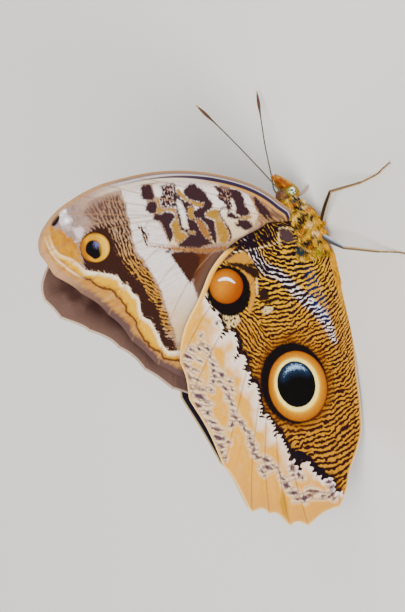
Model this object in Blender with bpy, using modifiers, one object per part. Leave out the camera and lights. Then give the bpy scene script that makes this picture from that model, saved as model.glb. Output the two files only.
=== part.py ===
"""Owl butterfly at rest with its wings closed over its back, at life size.

+X is the way the head points, +Y is the insect's left and +Z is up. The sheets of the wings
stand upright beside the body, the two forewings inside the two hindwings. Outlines are given
in polar form about each wing's hinge, in degrees up from +X and in millimetres.
"""
from math import atan2, ceil, cos, degrees, exp, hypot, pi, radians, sin

import bmesh
import bpy
from mathutils import Matrix, Vector
from mathutils.geometry import delaunay_2d_cdt

MM = 0.001
GAP = 0.3 * MM                # between neighbouring solids
DOUBLE = 0.002 * MM           # points closer than this are one
RIGHT = -1                    # the sign of Y on each side
LEFT = 1

# Body, as centres and half sizes
CHEST = (Vector((-1.0, 0, 7.2)) * MM, Vector((7.0, 4.4, 4.8)) * MM)
BREAST = (Vector((-0.5, 0, 4.7)) * MM, Vector((6.2, 4.4, 4.1)) * MM)
COLLAR = (Vector((3.9, 0, 7.1)) * MM, Vector((1.9, 3.0, 3.5)) * MM)
WING_BASE = (Vector((-0.5, 3.6, 8.6)) * MM, Vector((3.4, 1.6, 2.4)) * MM)
HIP_RADIUS = 1.4 * MM
HEAD = (Vector((6.9, 0, 7.7)) * MM, Vector((2.3, 2.2, 2.3)) * MM)
EYE = (Vector((7.7, 1.8, 7.5)) * MM, Vector((1.5, 1.4, 1.7)) * MM)

ABDOMEN_FRONT = -5.0 * MM
ABDOMEN_TAIL = -30.0 * MM
ABDOMEN_RADIUS = 3.0 * MM
ABDOMEN_HEIGHT = 7.4 * MM     # of its axis at the front
ABDOMEN_DROP = 1.2 * MM       # of its axis at the tail
ABDOMEN_RINGS = 8
ABDOMEN_TURNS = 14            # flats round it
ABDOMEN_WAIST = 0.72          # of its full radius, at the front
WAIST_LENGTH = 0.2            # of its length
TAIL_TAPER = 2.6              # a higher power keeps it full for longer
RING_GROOVE = 0.15 * MM

# Wing sheets
MEMBRANE = 0.5 * MM
VEIN_THICKNESS = 0.8 * MM
VEIN_HALF_WIDTH = 0.55 * MM
VEIN_TAPER = 0.35             # of that width is lost towards the tip
INNER_LAYER = 0.75 * MM       # from the middle plane to a forewing's sheet, out in the wing
BASE_SPREAD = 2.1 * MM        # added to that where the wings straddle the body
BASE_HEIGHT = 9.0 * MM        # up to which they straddle it in full
BASE_FADE = 10.0 * MM
SPREAD_REAR = -45.0 * MM
SPREAD_FRONT = -25.0 * MM
TIP_SPREAD = 0.5 * MM         # the forewings' tips lean apart
TIP_SPREAD_START = 45.0 * MM
TIP_SPREAD_LENGTH = 35.0 * MM
HIND_LAYER = 1.15 * MM        # from a forewing's sheet to the hindwing's, where both lie
HIND_JOIN_REAR = -54.0 * MM   # behind the forewings the hindwings close together
HIND_JOIN_FRONT = -37.0 * MM
CURL_HEIGHT = 8.0 * MM        # the hindwings' lower edges curl in under the abdomen
CURL_DEPTH = 1.3 * MM
LEFT_FOREWING_SWING = 8.0     # degrees that the left forewing sits further back
EDGE_STEP = 2.5 * MM
VEIN_STEP = 4.0 * MM
ROOT_STEP = 3.4 * MM
OUTER_STEP = 7.0 * MM
CLEARANCE = 0.4               # of a step, kept between grid points and lines
MERGE = 0.02 * MM
ROOT_REACH = 25.0 * MM
WING_LIMIT = 80.0 * MM        # longer than any wing

FORE_HINGE = Vector((1.0, 9.5)) * MM
FORE_FRONT_EDGE = ((0, 3.0), (33, 8.5), (43.5, 15.4), (51.5, 22.5), (59, 32.0))
FORE_INNER_EDGE = ((134, 27.3), (135.5, 12.7), (140, 5.3), (206, 1.1))
# each vein from where it leaves its parent to its tip at the margin
FORE_VEINS = {
    "subcosta": ((62, 8), (67.4, 45.3)),
    "radius_1": ((72.5, 26), (71.2, 52.7)),
    "radius_2": ((75.5, 32), (74.8, 59.1)),
    "radius_3": ((78.3, 37), (78.9, 65.8)),
    "radius_4": ((78.3, 37), (83.1, 70.3)),
    "radius_5": ((79.8, 39.1), (86.4, 70.9)),
    "media_1": ((82, 40.8), (90.4, 68.3)),
    "media_2": ((85.5, 41.1), (95.1, 62.5)),
    "media_3": ((88.5, 37), (101.7, 57.3)),
    "cubitus_1": ((91.5, 28), (109.7, 54.6)),
    "cubitus_2": ((95, 20.5), (118.6, 52.1)),
    "anal_2": ((125, 6), (131.4, 44.5)),
}
FORE_CELL = (((70, 7), (72.5, 26), (78.3, 37), (81, 40.7)),
             ((110, 6), (95, 20.5), (91.5, 28), (88.5, 37), (87, 41.2)),
             ((81, 40.7), (87, 41.2)))
FORE_SCALLOP = 0.6            # depth of the margin's bays between vein tips
FORE_FIRST_BAY = 86.0         # degrees at which the bays begin

HIND_HINGE = Vector((-1.0, 10.0)) * MM
HIND_FRONT_EDGE = ((67.5, 7.2), (81, 10.7), (92, 18.9), (100.2, 25.6), (108.8, 32.3),
                   (114.3, 40.3))
HIND_INNER_EDGE = ((179.6, 62.1), (181.5, 58.5), (184.3, 54.4), (188.8, 49.5), (191.3, 44.2),
                   (194.3, 36.8), (201.4, 27.9), (208.9, 21.1), (220.8, 15.6), (236, 11.5),
                   (243, 8.5), (255, 6.0), (300, 3.0))
HIND_VEINS = {
    "subcosta": ((105, 7), (120.5, 46.3)),
    "radial_sector": ((122, 12), (128.8, 51.0)),
    "media_1": ((141, 23.7), (145.2, 59.1)),
    "media_2": ((148, 28.7), (154.3, 66.6)),
    "media_3": ((151, 29.7), (158.6, 66.1)),
    "cubitus_1": ((154.3, 30.8), (163.7, 68.1)),
    "cubitus_2": ((157.7, 28.9), (168.2, 67.9)),
    "anal_1": ((187, 10), (176.8, 64.3)),
    "anal_2": ((202, 9), (184.3, 54.4)),
}
HIND_CELL = (((110, 7), (122, 12), (141, 23.7)),
             ((165, 9), (162, 21), (157.7, 28.9), (154.3, 30.8)),
             ((141, 23.7), (148, 28.7), (154.3, 30.8)))
HIND_SCALLOP = 1.2
HIND_FIRST_BAY = 120.0

# Feelers and mouthparts: centre lines of the right side's, with a radius at each point
RIGHT_ANTENNA = ((6.9, 0.9, 8.4), (8.6, 1.0, 10.1), (13.6, 1.0, 13.8), (19.8, 1.0, 18.6),
                 (25.1, 1.0, 22.9), (31.3, 1.0, 28.3))
LEFT_ANTENNA = ((6.9, 0.9, 8.4), (8.9, 1.2, 9.7), (12.9, 2.0, 8.9), (19.5, 4.6, 6.6),
                (25.5, 6.6, 4.4), (32.4, 8.8, 1.9))
ANTENNA_RADII = (0.32, 0.28, 0.25, 0.25, 0.3, 0.22)
CLUB_RADIUS = 0.42            # of the swelling near a feeler's tip
CLUB_HALF_LENGTH = 2.6
CLUB_PLACE = 0.45             # of the way along the feeler's last stretch
CLUB_END_RADIUS = 0.15
PALP = ((6.6, 0.8, 6.0), (6.9, 1.0, 4.4), (8.0, 1.1, 4.5), (9.4, 1.05, 6.2), (10.7, 0.9, 8.1),
        (12.3, 0.5, 10.1))
PALP_RADII = (0.5, 0.65, 0.7, 0.72, 0.6, 0.14)
PROBOSCIS = ((6.3, 0, 6.0), (6.6, 0, 3.2), (7.4, -0.2, 1.3), (8.2, -0.5, 0.6), (8.8, -0.7, 0.6))
PROBOSCIS_RADII = (0.35, 0.33, 0.3, 0.27, 0.18)

# Legs: hip, knee, ankle, where the foot reaches the floor, and toe
MID_LEG = ((-0.7, 3.3, 1.7), (5.4, 14.0, 6.2), (5.8, 20.8, 2.4), (6.7, 24.0, 0.24), (8.5, 29.2, 0.2))
HIND_LEG = ((-3.7, 3.3, 2.6), (-7.7, 14.0, 6.0), (-10.4, 21.6, 2.4), (-11.4, 25.0, 0.24),
            (-12.9, 30.4, 0.2))
FEMUR_RADII = (0.75, 0.7, 0.45)
TIBIA_RADII = (0.42, 0.38, 0.33)
TARSUS_RADII = (0.34, 0.32, 0.3, 0.26)
FORELEG = ((3.2, 1.8, 3.6), (4.6, 2.4, 3.4), (5.4, 2.3, 4.1), (6.0, 2.1, 5.2))
FORELEG_RADII = (0.6, 0.62, 0.5, 0.3)
THIGH_BOW = 0.25              # upwards, half way along
TUBE_STEP = 1.8 * MM


def clear_scene():
    for item in list(bpy.data.objects):
        bpy.data.objects.remove(item, do_unlink=True)


def finish(name, colour, roughness):
    """A plain finish in linear colour."""
    material = bpy.data.materials.new(name)
    material.use_nodes = True
    shader = material.node_tree.nodes["Principled BSDF"]
    shader.inputs["Base Color"].default_value = (*colour, 1.0)
    shader.inputs["Roughness"].default_value = roughness
    shader.inputs["Metallic"].default_value = 0.0
    return material


def new_object(name, mesh):
    item = bpy.data.objects.new(name, mesh)
    bpy.context.scene.collection.objects.link(item)
    return item


def move_to(item, collection):
    for owner in list(item.users_collection):
        owner.objects.unlink(item)
    collection.objects.link(item)


def apply_modifiers(item):
    """Swap an object's mesh for its evaluated one."""
    graph = bpy.context.evaluated_depsgraph_get()
    mesh = bpy.data.meshes.new_from_object(item.evaluated_get(graph))
    item.modifiers.clear()
    item.data = mesh


def keep_largest(item):
    """Delete all but the closed surface with the most area, and merge doubled points."""
    shape = bmesh.new()
    shape.from_mesh(item.data)
    bmesh.ops.remove_doubles(shape, verts=shape.verts, dist=DOUBLE)
    bmesh.ops.dissolve_degenerate(shape, edges=shape.edges, dist=DOUBLE)
    waiting = set(shape.faces)
    surfaces = []
    while waiting:
        surface = [waiting.pop()]
        for face in surface:
            for edge in face.edges:
                for other in edge.link_faces:
                    if other in waiting:
                        waiting.remove(other)
                        surface.append(other)
        surfaces.append(surface)
    surfaces.sort(key=lambda faces: sum(face.calc_area() for face in faces))
    loose = [face for surface in surfaces[:-1] for face in surface]
    bmesh.ops.delete(shape, geom=loose, context="FACES")
    bmesh.ops.triangulate(shape, faces=shape.faces)
    shape.to_mesh(item.data)
    shape.free()


def combine(item, others, operation):
    """Join other solids to one, or cut them out of it, and remove them."""
    bag = bpy.data.collections.new("pieces")
    bpy.context.scene.collection.children.link(bag)
    for other in others:
        move_to(other, bag)
    step = item.modifiers.new("combine", "BOOLEAN")
    step.operation = operation
    step.operand_type = "COLLECTION"
    step.collection = bag
    apply_modifiers(item)
    for other in others:
        bpy.data.objects.remove(other, do_unlink=True)
    bpy.data.collections.remove(bag)
    keep_largest(item)
    return item


def ellipsoid(name, place, side=1, grow=0.0, segments=18, rings=10):
    """A closed ellipsoid with its poles along X."""
    centre, half_size = place
    bpy.ops.mesh.primitive_uv_sphere_add(segments=segments, ring_count=rings, radius=1.0)
    item = bpy.context.object
    item.name = name
    sizes = [size + grow for size in half_size]
    item.data.transform(Matrix.Rotation(pi / 2, 4, "Y"))
    item.data.transform(Matrix.Diagonal((*sizes, 1.0)))
    item.data.transform(Matrix.Translation((centre.x, side * centre.y, centre.z)))
    return item


def smooth_route(points, step):
    """Points along a Catmull-Rom curve through the given ones, with what each carries."""
    rows = [Vector(points[0]) * 2 - Vector(points[1])]
    rows += [Vector(point) for point in points]
    rows.append(rows[-1] * 2 - rows[-2])
    route = []
    for before, start, end, after in zip(rows, rows[1:], rows[2:], rows[3:]):
        count = max(2, round((end.xyz - start.xyz).length / step))
        for index in range(count):
            t = index / count
            curve = 2 * start + (end - before) * t
            curve += (2 * before - 5 * start + 4 * end - after) * t * t
            curve += (3 * start - before - 3 * end + after) * t * t * t
            route.append(curve / 2)
    route.append(rows[-2])
    return route


def tube(name, points, radii, side=1, grow=0.0, step=TUBE_STEP):
    """A round closed tube along points in millimetres, with a radius at each point."""
    rows = [(x * MM, side * y * MM, z * MM, r * MM) for (x, y, z), r in zip(points, radii)]
    route = smooth_route(rows, step)
    if grow:
        lead = (route[0].xyz - route[1].xyz).normalized() * grow
        tail = (route[-1].xyz - route[-2].xyz).normalized() * grow
        route.insert(0, Vector((*(route[0].xyz + lead), route[0].w)))
        route.append(Vector((*(route[-1].xyz + tail), route[-1].w)))
    curve = bpy.data.curves.new(name, "CURVE")
    curve.dimensions = "3D"
    curve.bevel_depth = 1.0
    curve.bevel_resolution = 2
    curve.use_fill_caps = True
    spline = curve.splines.new("POLY")
    spline.points.add(len(route) - 1)
    for point, row in zip(spline.points, route):
        point.co = (*row.xyz, 1.0)
        point.radius = row.w + grow
    guide = new_object(name + "_line", curve)
    graph = bpy.context.evaluated_depsgraph_get()
    mesh = bpy.data.meshes.new_from_object(guide.evaluated_get(graph))
    bpy.data.objects.remove(guide, do_unlink=True)
    item = new_object(name, mesh)
    keep_largest(item)
    return item


def hips():
    """Place and size of the round hip of each walking leg."""
    half_size = Vector((HIP_RADIUS, HIP_RADIUS, HIP_RADIUS))
    return [(Vector(leg[0]) * MM, half_size) for leg in (MID_LEG, HIND_LEG)]


def thorax(name, grow=0.0):
    """Chest, breast, collar, wing bases and hips as one closed body."""
    pieces = [ellipsoid("breast", BREAST, grow=grow), ellipsoid("collar", COLLAR, grow=grow)]
    for side in (RIGHT, LEFT):
        pieces.append(ellipsoid("wing_base", WING_BASE, side, grow, segments=12, rings=8))
        pieces += [ellipsoid("hip", hip, side, grow, segments=10, rings=6) for hip in hips()]
    chest = ellipsoid(name, CHEST, grow=grow)
    return combine(chest, pieces, "UNION")


def head(name, grow=0.0):
    return ellipsoid(name, HEAD, grow=grow)


def abdomen():
    """A tapered body of rings, turned about its own axis."""
    length = ABDOMEN_FRONT - ABDOMEN_TAIL
    steps = ABDOMEN_RINGS * 2
    profile = bmesh.new()
    previous = None
    for index in range(steps + 1):
        t = index / steps
        waist = ABDOMEN_WAIST + (1 - ABDOMEN_WAIST) * min(1.0, t / WAIST_LENGTH)
        swell = waist * (1 - t ** TAIL_TAPER) ** 0.5
        groove = RING_GROOVE if index % 2 == 0 and 0 < index < steps else 0.0
        radius = ABDOMEN_RADIUS * swell - groove
        point = profile.verts.new((max(radius, 0.0), 0.0, -t * length))
        if previous:
            profile.edges.new((previous, point))
        else:
            cap = profile.verts.new((0.0, 0.0, 0.0))
            profile.edges.new((cap, point))
        previous = point
    mesh = bpy.data.meshes.new("abdomen")
    profile.to_mesh(mesh)
    profile.free()
    item = new_object("abdomen", mesh)
    turn = item.modifiers.new("turn", "SCREW")
    turn.steps = ABDOMEN_TURNS
    turn.render_steps = ABDOMEN_TURNS
    turn.use_merge_vertices = True
    turn.merge_threshold = 0.01 * MM
    apply_modifiers(item)
    item.data.transform(Matrix.Rotation(pi / 2, 4, "Y"))
    for vertex in item.data.vertices:
        t = -vertex.co.x / length
        vertex.co.x += ABDOMEN_FRONT
        vertex.co.z += ABDOMEN_HEIGHT - ABDOMEN_DROP * t * t
    return combine(item, [thorax("thorax_clearance", GAP)], "DIFFERENCE")


def reach(edge, angle):
    """Length of a wing's margin line at an angle, by a cubic through its polar points."""
    index = 1
    while index < len(edge) - 1 and edge[index][0] < angle:
        index += 1
    start, end = edge[index - 1], edge[index]
    span = end[0] - start[0]
    before = edge[max(index - 2, 0)]
    after = edge[min(index + 1, len(edge) - 1)]
    rise_start = (end[1] - before[1]) / (end[0] - before[0])
    rise_end = (after[1] - start[1]) / (after[0] - start[0])
    t = (angle - start[0]) / span
    value = (2 * t ** 3 - 3 * t * t + 1) * start[1] + (3 * t * t - 2 * t ** 3) * end[1]
    value += (t ** 3 - 2 * t * t + t) * span * rise_start + (t ** 3 - t * t) * span * rise_end
    return value


def polar(hinge, angle, length):
    return hinge + Vector((cos(radians(angle)), sin(radians(angle)))) * length * MM


def wing_edge(front, veins, inner):
    """The polar points of a whole margin, by growing angle."""
    return sorted(front + tuple(tip for start, tip in veins.values()) + inner)


def margin(hinge, edge, veins, scallop, first_bay):
    """Points round the wing, with a shallow bay between each two vein tips."""
    tips = sorted(tip[0] for start, tip in veins.values())
    outline = []
    for start, end in zip(edge, edge[1:]):
        chord = (polar(hinge, *start) - polar(hinge, *end)).length
        count = max(2, round(chord / EDGE_STEP))
        for index in range(count):
            angle = start[0] + (end[0] - start[0]) * index / count
            length = reach(edge, angle)
            for low, high in zip(tips, tips[1:]):
                if low >= first_bay and low < angle < high:
                    length -= scallop * sin(pi * (angle - low) / (high - low))
            outline.append(polar(hinge, angle, length))
    outline.append(polar(hinge, *edge[-1]))
    return outline


def polar_line(hinge, start, end):
    """Points along a gentle curve on which angle and length change evenly."""
    chord = (polar(hinge, *start) - polar(hinge, *end)).length
    count = max(2, round(chord / VEIN_STEP))
    rows = []
    for index in range(count + 1):
        t = index / count
        rows.append(polar(hinge, start[0] + (end[0] - start[0]) * t, start[1] + (end[1] - start[1]) * t))
    return rows


def vein_lines(hinge, veins, cell):
    """The middle line of every vein, with its half width at each point."""
    lines = []
    for start, tip in veins.values():
        rows = polar_line(hinge, start, tip)
        last = len(rows) - 1
        widths = [VEIN_HALF_WIDTH * (1 - VEIN_TAPER * index / last) for index in range(last + 1)]
        widths[-1] = 0.0
        lines.append((rows, widths))
    for bar in cell:
        for start, end in zip(bar, bar[1:]):
            rows = polar_line(hinge, start, end)
            lines.append((rows, [VEIN_HALF_WIDTH] * len(rows)))
    return lines


def distance_to_line(point, start, end):
    """Distance to a short line, and how far along it the nearest place is."""
    along = end - start
    t = max(0.0, min(1.0, (point - start).dot(along) / along.length_squared))
    return (start + along * t - point).length, t


def ridge(point, lines):
    """How far a place is up the nearest vein's ridge, from 0 on the membrane to 1."""
    best = 0.0
    for rows, widths in lines:
        for index in range(len(rows) - 1):
            distance, t = distance_to_line(point, rows[index], rows[index + 1])
            width = widths[index] + (widths[index + 1] - widths[index]) * t
            if distance < width:
                best = max(best, 1 - distance / width)
    return best


def side_line(rows, widths, sign):
    """A vein's ridge edge, beside its middle line."""
    shifted = []
    for index, row in enumerate(rows):
        along = rows[min(index + 1, len(rows) - 1)] - rows[max(index - 1, 0)]
        across = Vector((-along.y, along.x)).normalized()
        shifted.append(row + across * sign * widths[index])
    return shifted


def filling_points(hinge, edge, lines):
    """A loose grid inside the margin, closer near the root, clear of the veins."""
    points = []
    for step, low, high in ((ROOT_STEP, 0.0, ROOT_REACH), (OUTER_STEP, ROOT_REACH, WING_LIMIT)):
        rows = ceil(WING_LIMIT / step)
        for row in range(-rows, rows):
            for column in range(-rows, rows):
                offset = Vector(((column + 0.5 * (row % 2)) * step, row * step * cos(pi / 6)))
                length = offset.length
                angle = degrees(atan2(offset.y, offset.x)) % 360
                if angle > edge[-1][0] or not low <= length < high:
                    continue
                if length > reach(edge, angle) * MM - CLEARANCE * step:
                    continue
                point = hinge + offset
                near = min(distance_to_line(point, start, end)[0]
                           for line, widths in lines for start, end in zip(line, line[1:]))
                if near > CLEARANCE * step:
                    points.append(point)
    return points


def smooth_step(value):
    value = max(0.0, min(1.0, value))
    return value * value * (3 - 2 * value)


def layer(x, z, is_hind):
    """Distance of a wing's sheet from the middle plane."""
    beside_body = smooth_step((x - SPREAD_REAR) / (SPREAD_FRONT - SPREAD_REAR))
    straddle = BASE_SPREAD * beside_body * exp(-max(z - BASE_HEIGHT, 0.0) / BASE_FADE)
    from_hinge = hypot(x - FORE_HINGE.x, z - FORE_HINGE.y)
    lean = TIP_SPREAD * smooth_step((from_hinge - TIP_SPREAD_START) / TIP_SPREAD_LENGTH)
    if not is_hind:
        return INNER_LAYER + straddle + lean
    cover = smooth_step((x - HIND_JOIN_REAR) / (HIND_JOIN_FRONT - HIND_JOIN_REAR))
    curl = CURL_DEPTH * beside_body * max(0.0, 1 - z / CURL_HEIGHT) ** 2
    return INNER_LAYER + straddle + HIND_LAYER * cover - curl


def turned(edge, swing):
    """The same polar points, turned about the hinge."""
    return tuple((angle + swing, length) for angle, length in edge)


def wing(name, side, is_hind, swing=0.0):
    """One wing: a curved sheet of even thickness with its veins raised on both faces."""
    if is_hind:
        hinge, veins, cell = HIND_HINGE, HIND_VEINS, HIND_CELL
        front, inner = HIND_FRONT_EDGE, HIND_INNER_EDGE
        scallop, first_bay = HIND_SCALLOP, HIND_FIRST_BAY
    else:
        hinge, veins, cell = FORE_HINGE, FORE_VEINS, FORE_CELL
        front, inner = FORE_FRONT_EDGE, FORE_INNER_EDGE
        scallop, first_bay = FORE_SCALLOP, FORE_FIRST_BAY
    veins = {key: turned(ends, swing) for key, ends in veins.items()}
    cell = [turned(bar, swing) for bar in cell]
    edge = wing_edge(turned(front, swing), veins, turned(inner, swing))
    outline = margin(hinge, edge, veins, scallop, first_bay + swing)
    lines = vein_lines(hinge, veins, cell)
    points = list(outline)
    links = []
    for rows, widths in lines:
        for sign in (0, -1, 1):
            line = side_line(rows, widths, sign)
            links += [(len(points) + index, len(points) + index + 1) for index in range(len(line) - 1)]
            points += line
    points += filling_points(hinge, edge, lines)
    loop = list(range(len(outline)))
    flat, edges, faces, *origins = delaunay_2d_cdt(points, links, [loop], 1, MERGE)
    sheet = bpy.data.meshes.new(name)
    rows = [(point.x, side * layer(point.x, point.y, is_hind), point.y) for point in flat]
    sheet.from_pydata(rows, [], faces)
    item = new_object(name, sheet)
    group = item.vertex_groups.new(name="thickness")
    for index, point in enumerate(flat):
        thickness = MEMBRANE + (VEIN_THICKNESS - MEMBRANE) * ridge(point, lines)
        group.add([index], thickness / VEIN_THICKNESS, "REPLACE")
    shell = item.modifiers.new("shell", "SOLIDIFY")
    shell.thickness = VEIN_THICKNESS
    shell.offset = 0.0
    shell.vertex_group = "thickness"
    apply_modifiers(item)
    cutters = [thorax("thorax_clearance", GAP)]
    if is_hind:
        cutters.append(floor_block())
    return combine(item, cutters, "DIFFERENCE")


def floor_block():
    """All that is below the surface on which the insect stands."""
    bpy.ops.mesh.primitive_cube_add(size=0.2, location=(0, 0, -0.1))
    return bpy.context.object


def seated(item, *neighbours):
    """Cut a piece clear of the grown shapes of what it meets."""
    return combine(item, list(neighbours), "DIFFERENCE")


def antenna(name, points, side):
    item = tube(name, points, ANTENNA_RADII, side)
    last = Vector(points[-1]) - Vector(points[-2])
    middle = Vector(points[-2]) + last * CLUB_PLACE
    reach_out = last.normalized() * CLUB_HALF_LENGTH
    club_line = (middle - reach_out, middle, middle + reach_out)
    swelling = tube("club", club_line, (CLUB_END_RADIUS, CLUB_RADIUS, CLUB_END_RADIUS), side)
    combine(item, [swelling], "UNION")
    return seated(item, head("head_clearance", GAP))


def leg(suffix, points, side):
    """Thigh, shin and foot of a walking leg, each cut clear of the one before."""
    hip, knee, ankle, sole, toe = points
    bow = [(a + b) / 2 for a, b in zip(hip, knee)]
    bow[2] += THIGH_BOW
    thigh_line = (hip, tuple(bow), knee)
    shin_line = (knee, tuple((a + b) / 2 for a, b in zip(knee, ankle)), ankle)
    foot_line = (ankle, sole, tuple((a + b) / 2 for a, b in zip(sole, toe)), toe)
    thigh = tube("femur" + suffix, thigh_line, FEMUR_RADII, side)
    seated(thigh, thorax("thorax_clearance", GAP))
    shin = tube("tibia" + suffix, shin_line, TIBIA_RADII, side)
    seated(shin, tube("femur_clearance", thigh_line, FEMUR_RADII, side, GAP))
    foot = tube("tarsus" + suffix, foot_line, TARSUS_RADII, side)
    seated(foot, tube("tibia_clearance", shin_line, TIBIA_RADII, side, GAP), floor_block())
    return thigh, shin, foot


def main():
    clear_scene()
    scales = finish("wing scales", (0.30, 0.20, 0.10), 0.75)
    hair = finish("golden body hair", (0.45, 0.27, 0.07), 0.85)
    palp_scales = finish("orange palp scales", (0.75, 0.33, 0.05), 0.8)
    cornea = finish("eye cornea", (0.62, 0.62, 0.28), 0.25)
    horn = finish("leg and feeler cuticle", (0.42, 0.33, 0.22), 0.6)

    parts = []

    def keep(item, material):
        item.data.materials.clear()
        item.data.materials.append(material)
        parts.append(item)

    keep(thorax("thorax"), hair)
    keep(abdomen(), hair)
    skull = seated(head("head"), thorax("thorax_clearance", GAP),
                   ellipsoid("socket", EYE, RIGHT, GAP), ellipsoid("socket", EYE, LEFT, GAP))
    keep(skull, hair)
    for side, word, feeler in ((RIGHT, "right", RIGHT_ANTENNA), (LEFT, "left", LEFT_ANTENNA)):
        keep(seated(ellipsoid("eye_" + word, EYE, side), thorax("thorax_clearance", GAP)), cornea)
        keep(antenna("antenna_" + word, feeler, side), horn)
        palp = tube("palp_" + word, PALP, PALP_RADII, side)
        keep(seated(palp, head("head_clearance", GAP), ellipsoid("socket", EYE, side, GAP)), palp_scales)
        front_leg = tube("foreleg_" + word, FORELEG, FORELEG_RADII, side)
        keep(seated(front_leg, thorax("thorax_clearance", GAP),
                    tube("palp_clearance", PALP, PALP_RADII, side, GAP)), hair)
        for prefix, points in (("mid", MID_LEG), ("hind", HIND_LEG)):
            for item in leg("_%s_%s" % (prefix, word), points, side):
                keep(item, horn)
        swing = LEFT_FOREWING_SWING if side == LEFT else 0.0
        keep(wing("forewing_" + word, side, False, swing), scales)
        keep(wing("hindwing_" + word, side, True), scales)
    tongue = tube("proboscis", PROBOSCIS, PROBOSCIS_RADII)
    keep(seated(tongue, head("head_clearance", GAP), tube("palp_clearance", PALP, PALP_RADII, RIGHT, GAP),
                tube("palp_clearance", PALP, PALP_RADII, LEFT, GAP)), horn)

    insect = bpy.data.collections.new("owl_butterfly")
    bpy.context.scene.collection.children.link(insect)
    corners = [vertex.co for item in parts for vertex in item.data.vertices]
    low = Vector([min(corner[axis] for corner in corners) for axis in range(3)])
    high = Vector([max(corner[axis] for corner in corners) for axis in range(3)])
    frame = bpy.data.objects.new("butterfly_frame", None)
    frame.location = (-(low.x + high.x) / 2, -(low.y + high.y) / 2, -low.z)
    insect.objects.link(frame)
    for item in parts:
        move_to(item, insect)
        item.parent = frame
        item.data.shade_smooth()
        item.data.set_sharp_from_angle(angle=radians(40))


main()
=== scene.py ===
"""Looks of the owl butterfly at rest, life size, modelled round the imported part.

Places are in millimetres in the insect's own frame: x = 0 is 1 mm behind the forewings' hinge,
y = 0 the plane between the wings and z = 0 the floor. A mesh gets its place in the row frame,
in metres, when it is finished.
"""
from math import ceil, cos, degrees, exp, pi, radians, sin

import bpy
import numpy as np
from mathutils import Euler, Matrix, Vector
from mathutils.bvhtree import BVHTree


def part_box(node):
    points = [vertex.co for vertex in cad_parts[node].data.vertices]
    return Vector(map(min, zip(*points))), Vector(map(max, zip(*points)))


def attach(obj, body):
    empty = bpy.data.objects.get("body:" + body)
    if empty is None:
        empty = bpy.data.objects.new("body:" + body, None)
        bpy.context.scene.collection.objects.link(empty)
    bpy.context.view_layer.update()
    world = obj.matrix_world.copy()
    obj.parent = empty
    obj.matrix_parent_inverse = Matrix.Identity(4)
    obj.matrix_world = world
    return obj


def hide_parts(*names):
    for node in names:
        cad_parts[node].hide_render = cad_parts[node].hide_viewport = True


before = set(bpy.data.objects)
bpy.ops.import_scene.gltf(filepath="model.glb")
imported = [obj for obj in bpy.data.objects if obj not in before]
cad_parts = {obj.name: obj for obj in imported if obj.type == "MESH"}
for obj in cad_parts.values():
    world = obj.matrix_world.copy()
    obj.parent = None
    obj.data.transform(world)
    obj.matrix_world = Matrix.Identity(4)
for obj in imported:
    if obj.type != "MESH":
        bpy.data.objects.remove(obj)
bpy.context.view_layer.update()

MM = 0.001
RIGHT = -1                     # the sign of y on each side
LEFT = 1
SIDES = ((RIGHT, "right"), (LEFT, "left"))
THORAX_LOW, THORAX_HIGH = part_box("thorax")
CHEST_MIDDLE = -1.0            # x of the chest's middle in the insect's frame
SHIFT = (THORAX_LOW.x + THORAX_HIGH.x) / 2 / MM - CHEST_MIDDLE

# Camera: it looks down on the insect's right side, and lies on its side as the photo does
CAMERA_TARGET = Vector((-13.4, -2.0, 40.2))
CAMERA_DISTANCE = 900.0
CAMERA_HEIGHT = 38.0           # degrees above the floor
CAMERA_ROLL = 103.0            # degrees
FRAME_HEIGHT = 612             # pixels
PIXEL = 0.2245                 # mm at the target
SENSOR = 36.0

# Wing outlines and veins, as the part has them: degrees up from +X and mm from the hinge
FORE_HINGE = np.array((1.0, 9.5))
FORE_FRONT = ((0, 2.2), (24, 4.9), (33, 8.7), (43.5, 15.4), (51.5, 22.5), (59, 32))
FORE_INNER = ((134, 27.3), (135.5, 12.7), (140, 5.3), (206, 1.1))
FORE_VEINS = (((62, 8), (67.4, 45.3)), ((72.5, 26), (71.2, 52.7)), ((75.5, 32), (74.8, 59.1)),
              ((78.3, 37), (78.9, 65.8)), ((78.3, 37), (83.1, 70.3)), ((79.8, 39.1), (86.4, 70.9)),
              ((82, 40.8), (90.4, 68.3)), ((85.5, 41.1), (95.1, 62.5)), ((88.5, 37), (101.7, 57.3)),
              ((91.5, 28), (109.7, 54.6)), ((95, 20.5), (118.6, 52.1)), ((125, 6), (131.4, 44.5)))
FORE_CELL = (((70, 7), (72.5, 26), (78.3, 37), (81, 40.7)),
             ((110, 6), (95, 20.5), (91.5, 28), (88.5, 37), (87, 41.2)),
             ((81, 40.7), (87, 41.2)))
FORE_SCALLOP = (0.6, 86.0)     # depth of the bays between vein tips, and where they begin

HIND_HINGE = np.array((-1.0, 10.0))
HIND_FRONT = ((67.5, 7.2), (81, 10.7), (92, 18.9), (100.2, 25.6), (108.8, 32.3), (114.3, 40.3))
HIND_INNER = ((179.6, 62.1), (181.5, 58.5), (184.3, 54.4), (188.8, 49.5), (191.3, 44.2), (194.3, 36.8),
              (201.4, 27.9), (208.9, 21.1), (220.8, 15.6), (236, 11.5), (243, 8.5), (255, 6), (300, 3))
HIND_VEINS = (((105, 7), (120.5, 46.3)), ((122, 12), (128.8, 51.0)), ((141, 23.7), (145.2, 59.1)),
              ((148, 28.7), (154.3, 66.6)), ((151, 29.7), (158.6, 66.1)),
              ((154.3, 30.8), (163.7, 68.1)), ((157.7, 28.9), (168.2, 67.9)),
              ((187, 10), (176.8, 64.3)), ((202, 9), (184.3, 54.4)))
HIND_CELL = (((110, 7), (122, 12), (141, 23.7)),
             ((165, 9), (162, 21), (157.7, 28.9), (154.3, 30.8)),
             ((141, 23.7), (148, 28.7), (154.3, 30.8)))
HIND_SCALLOP = (1.2, 120.0)
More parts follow.
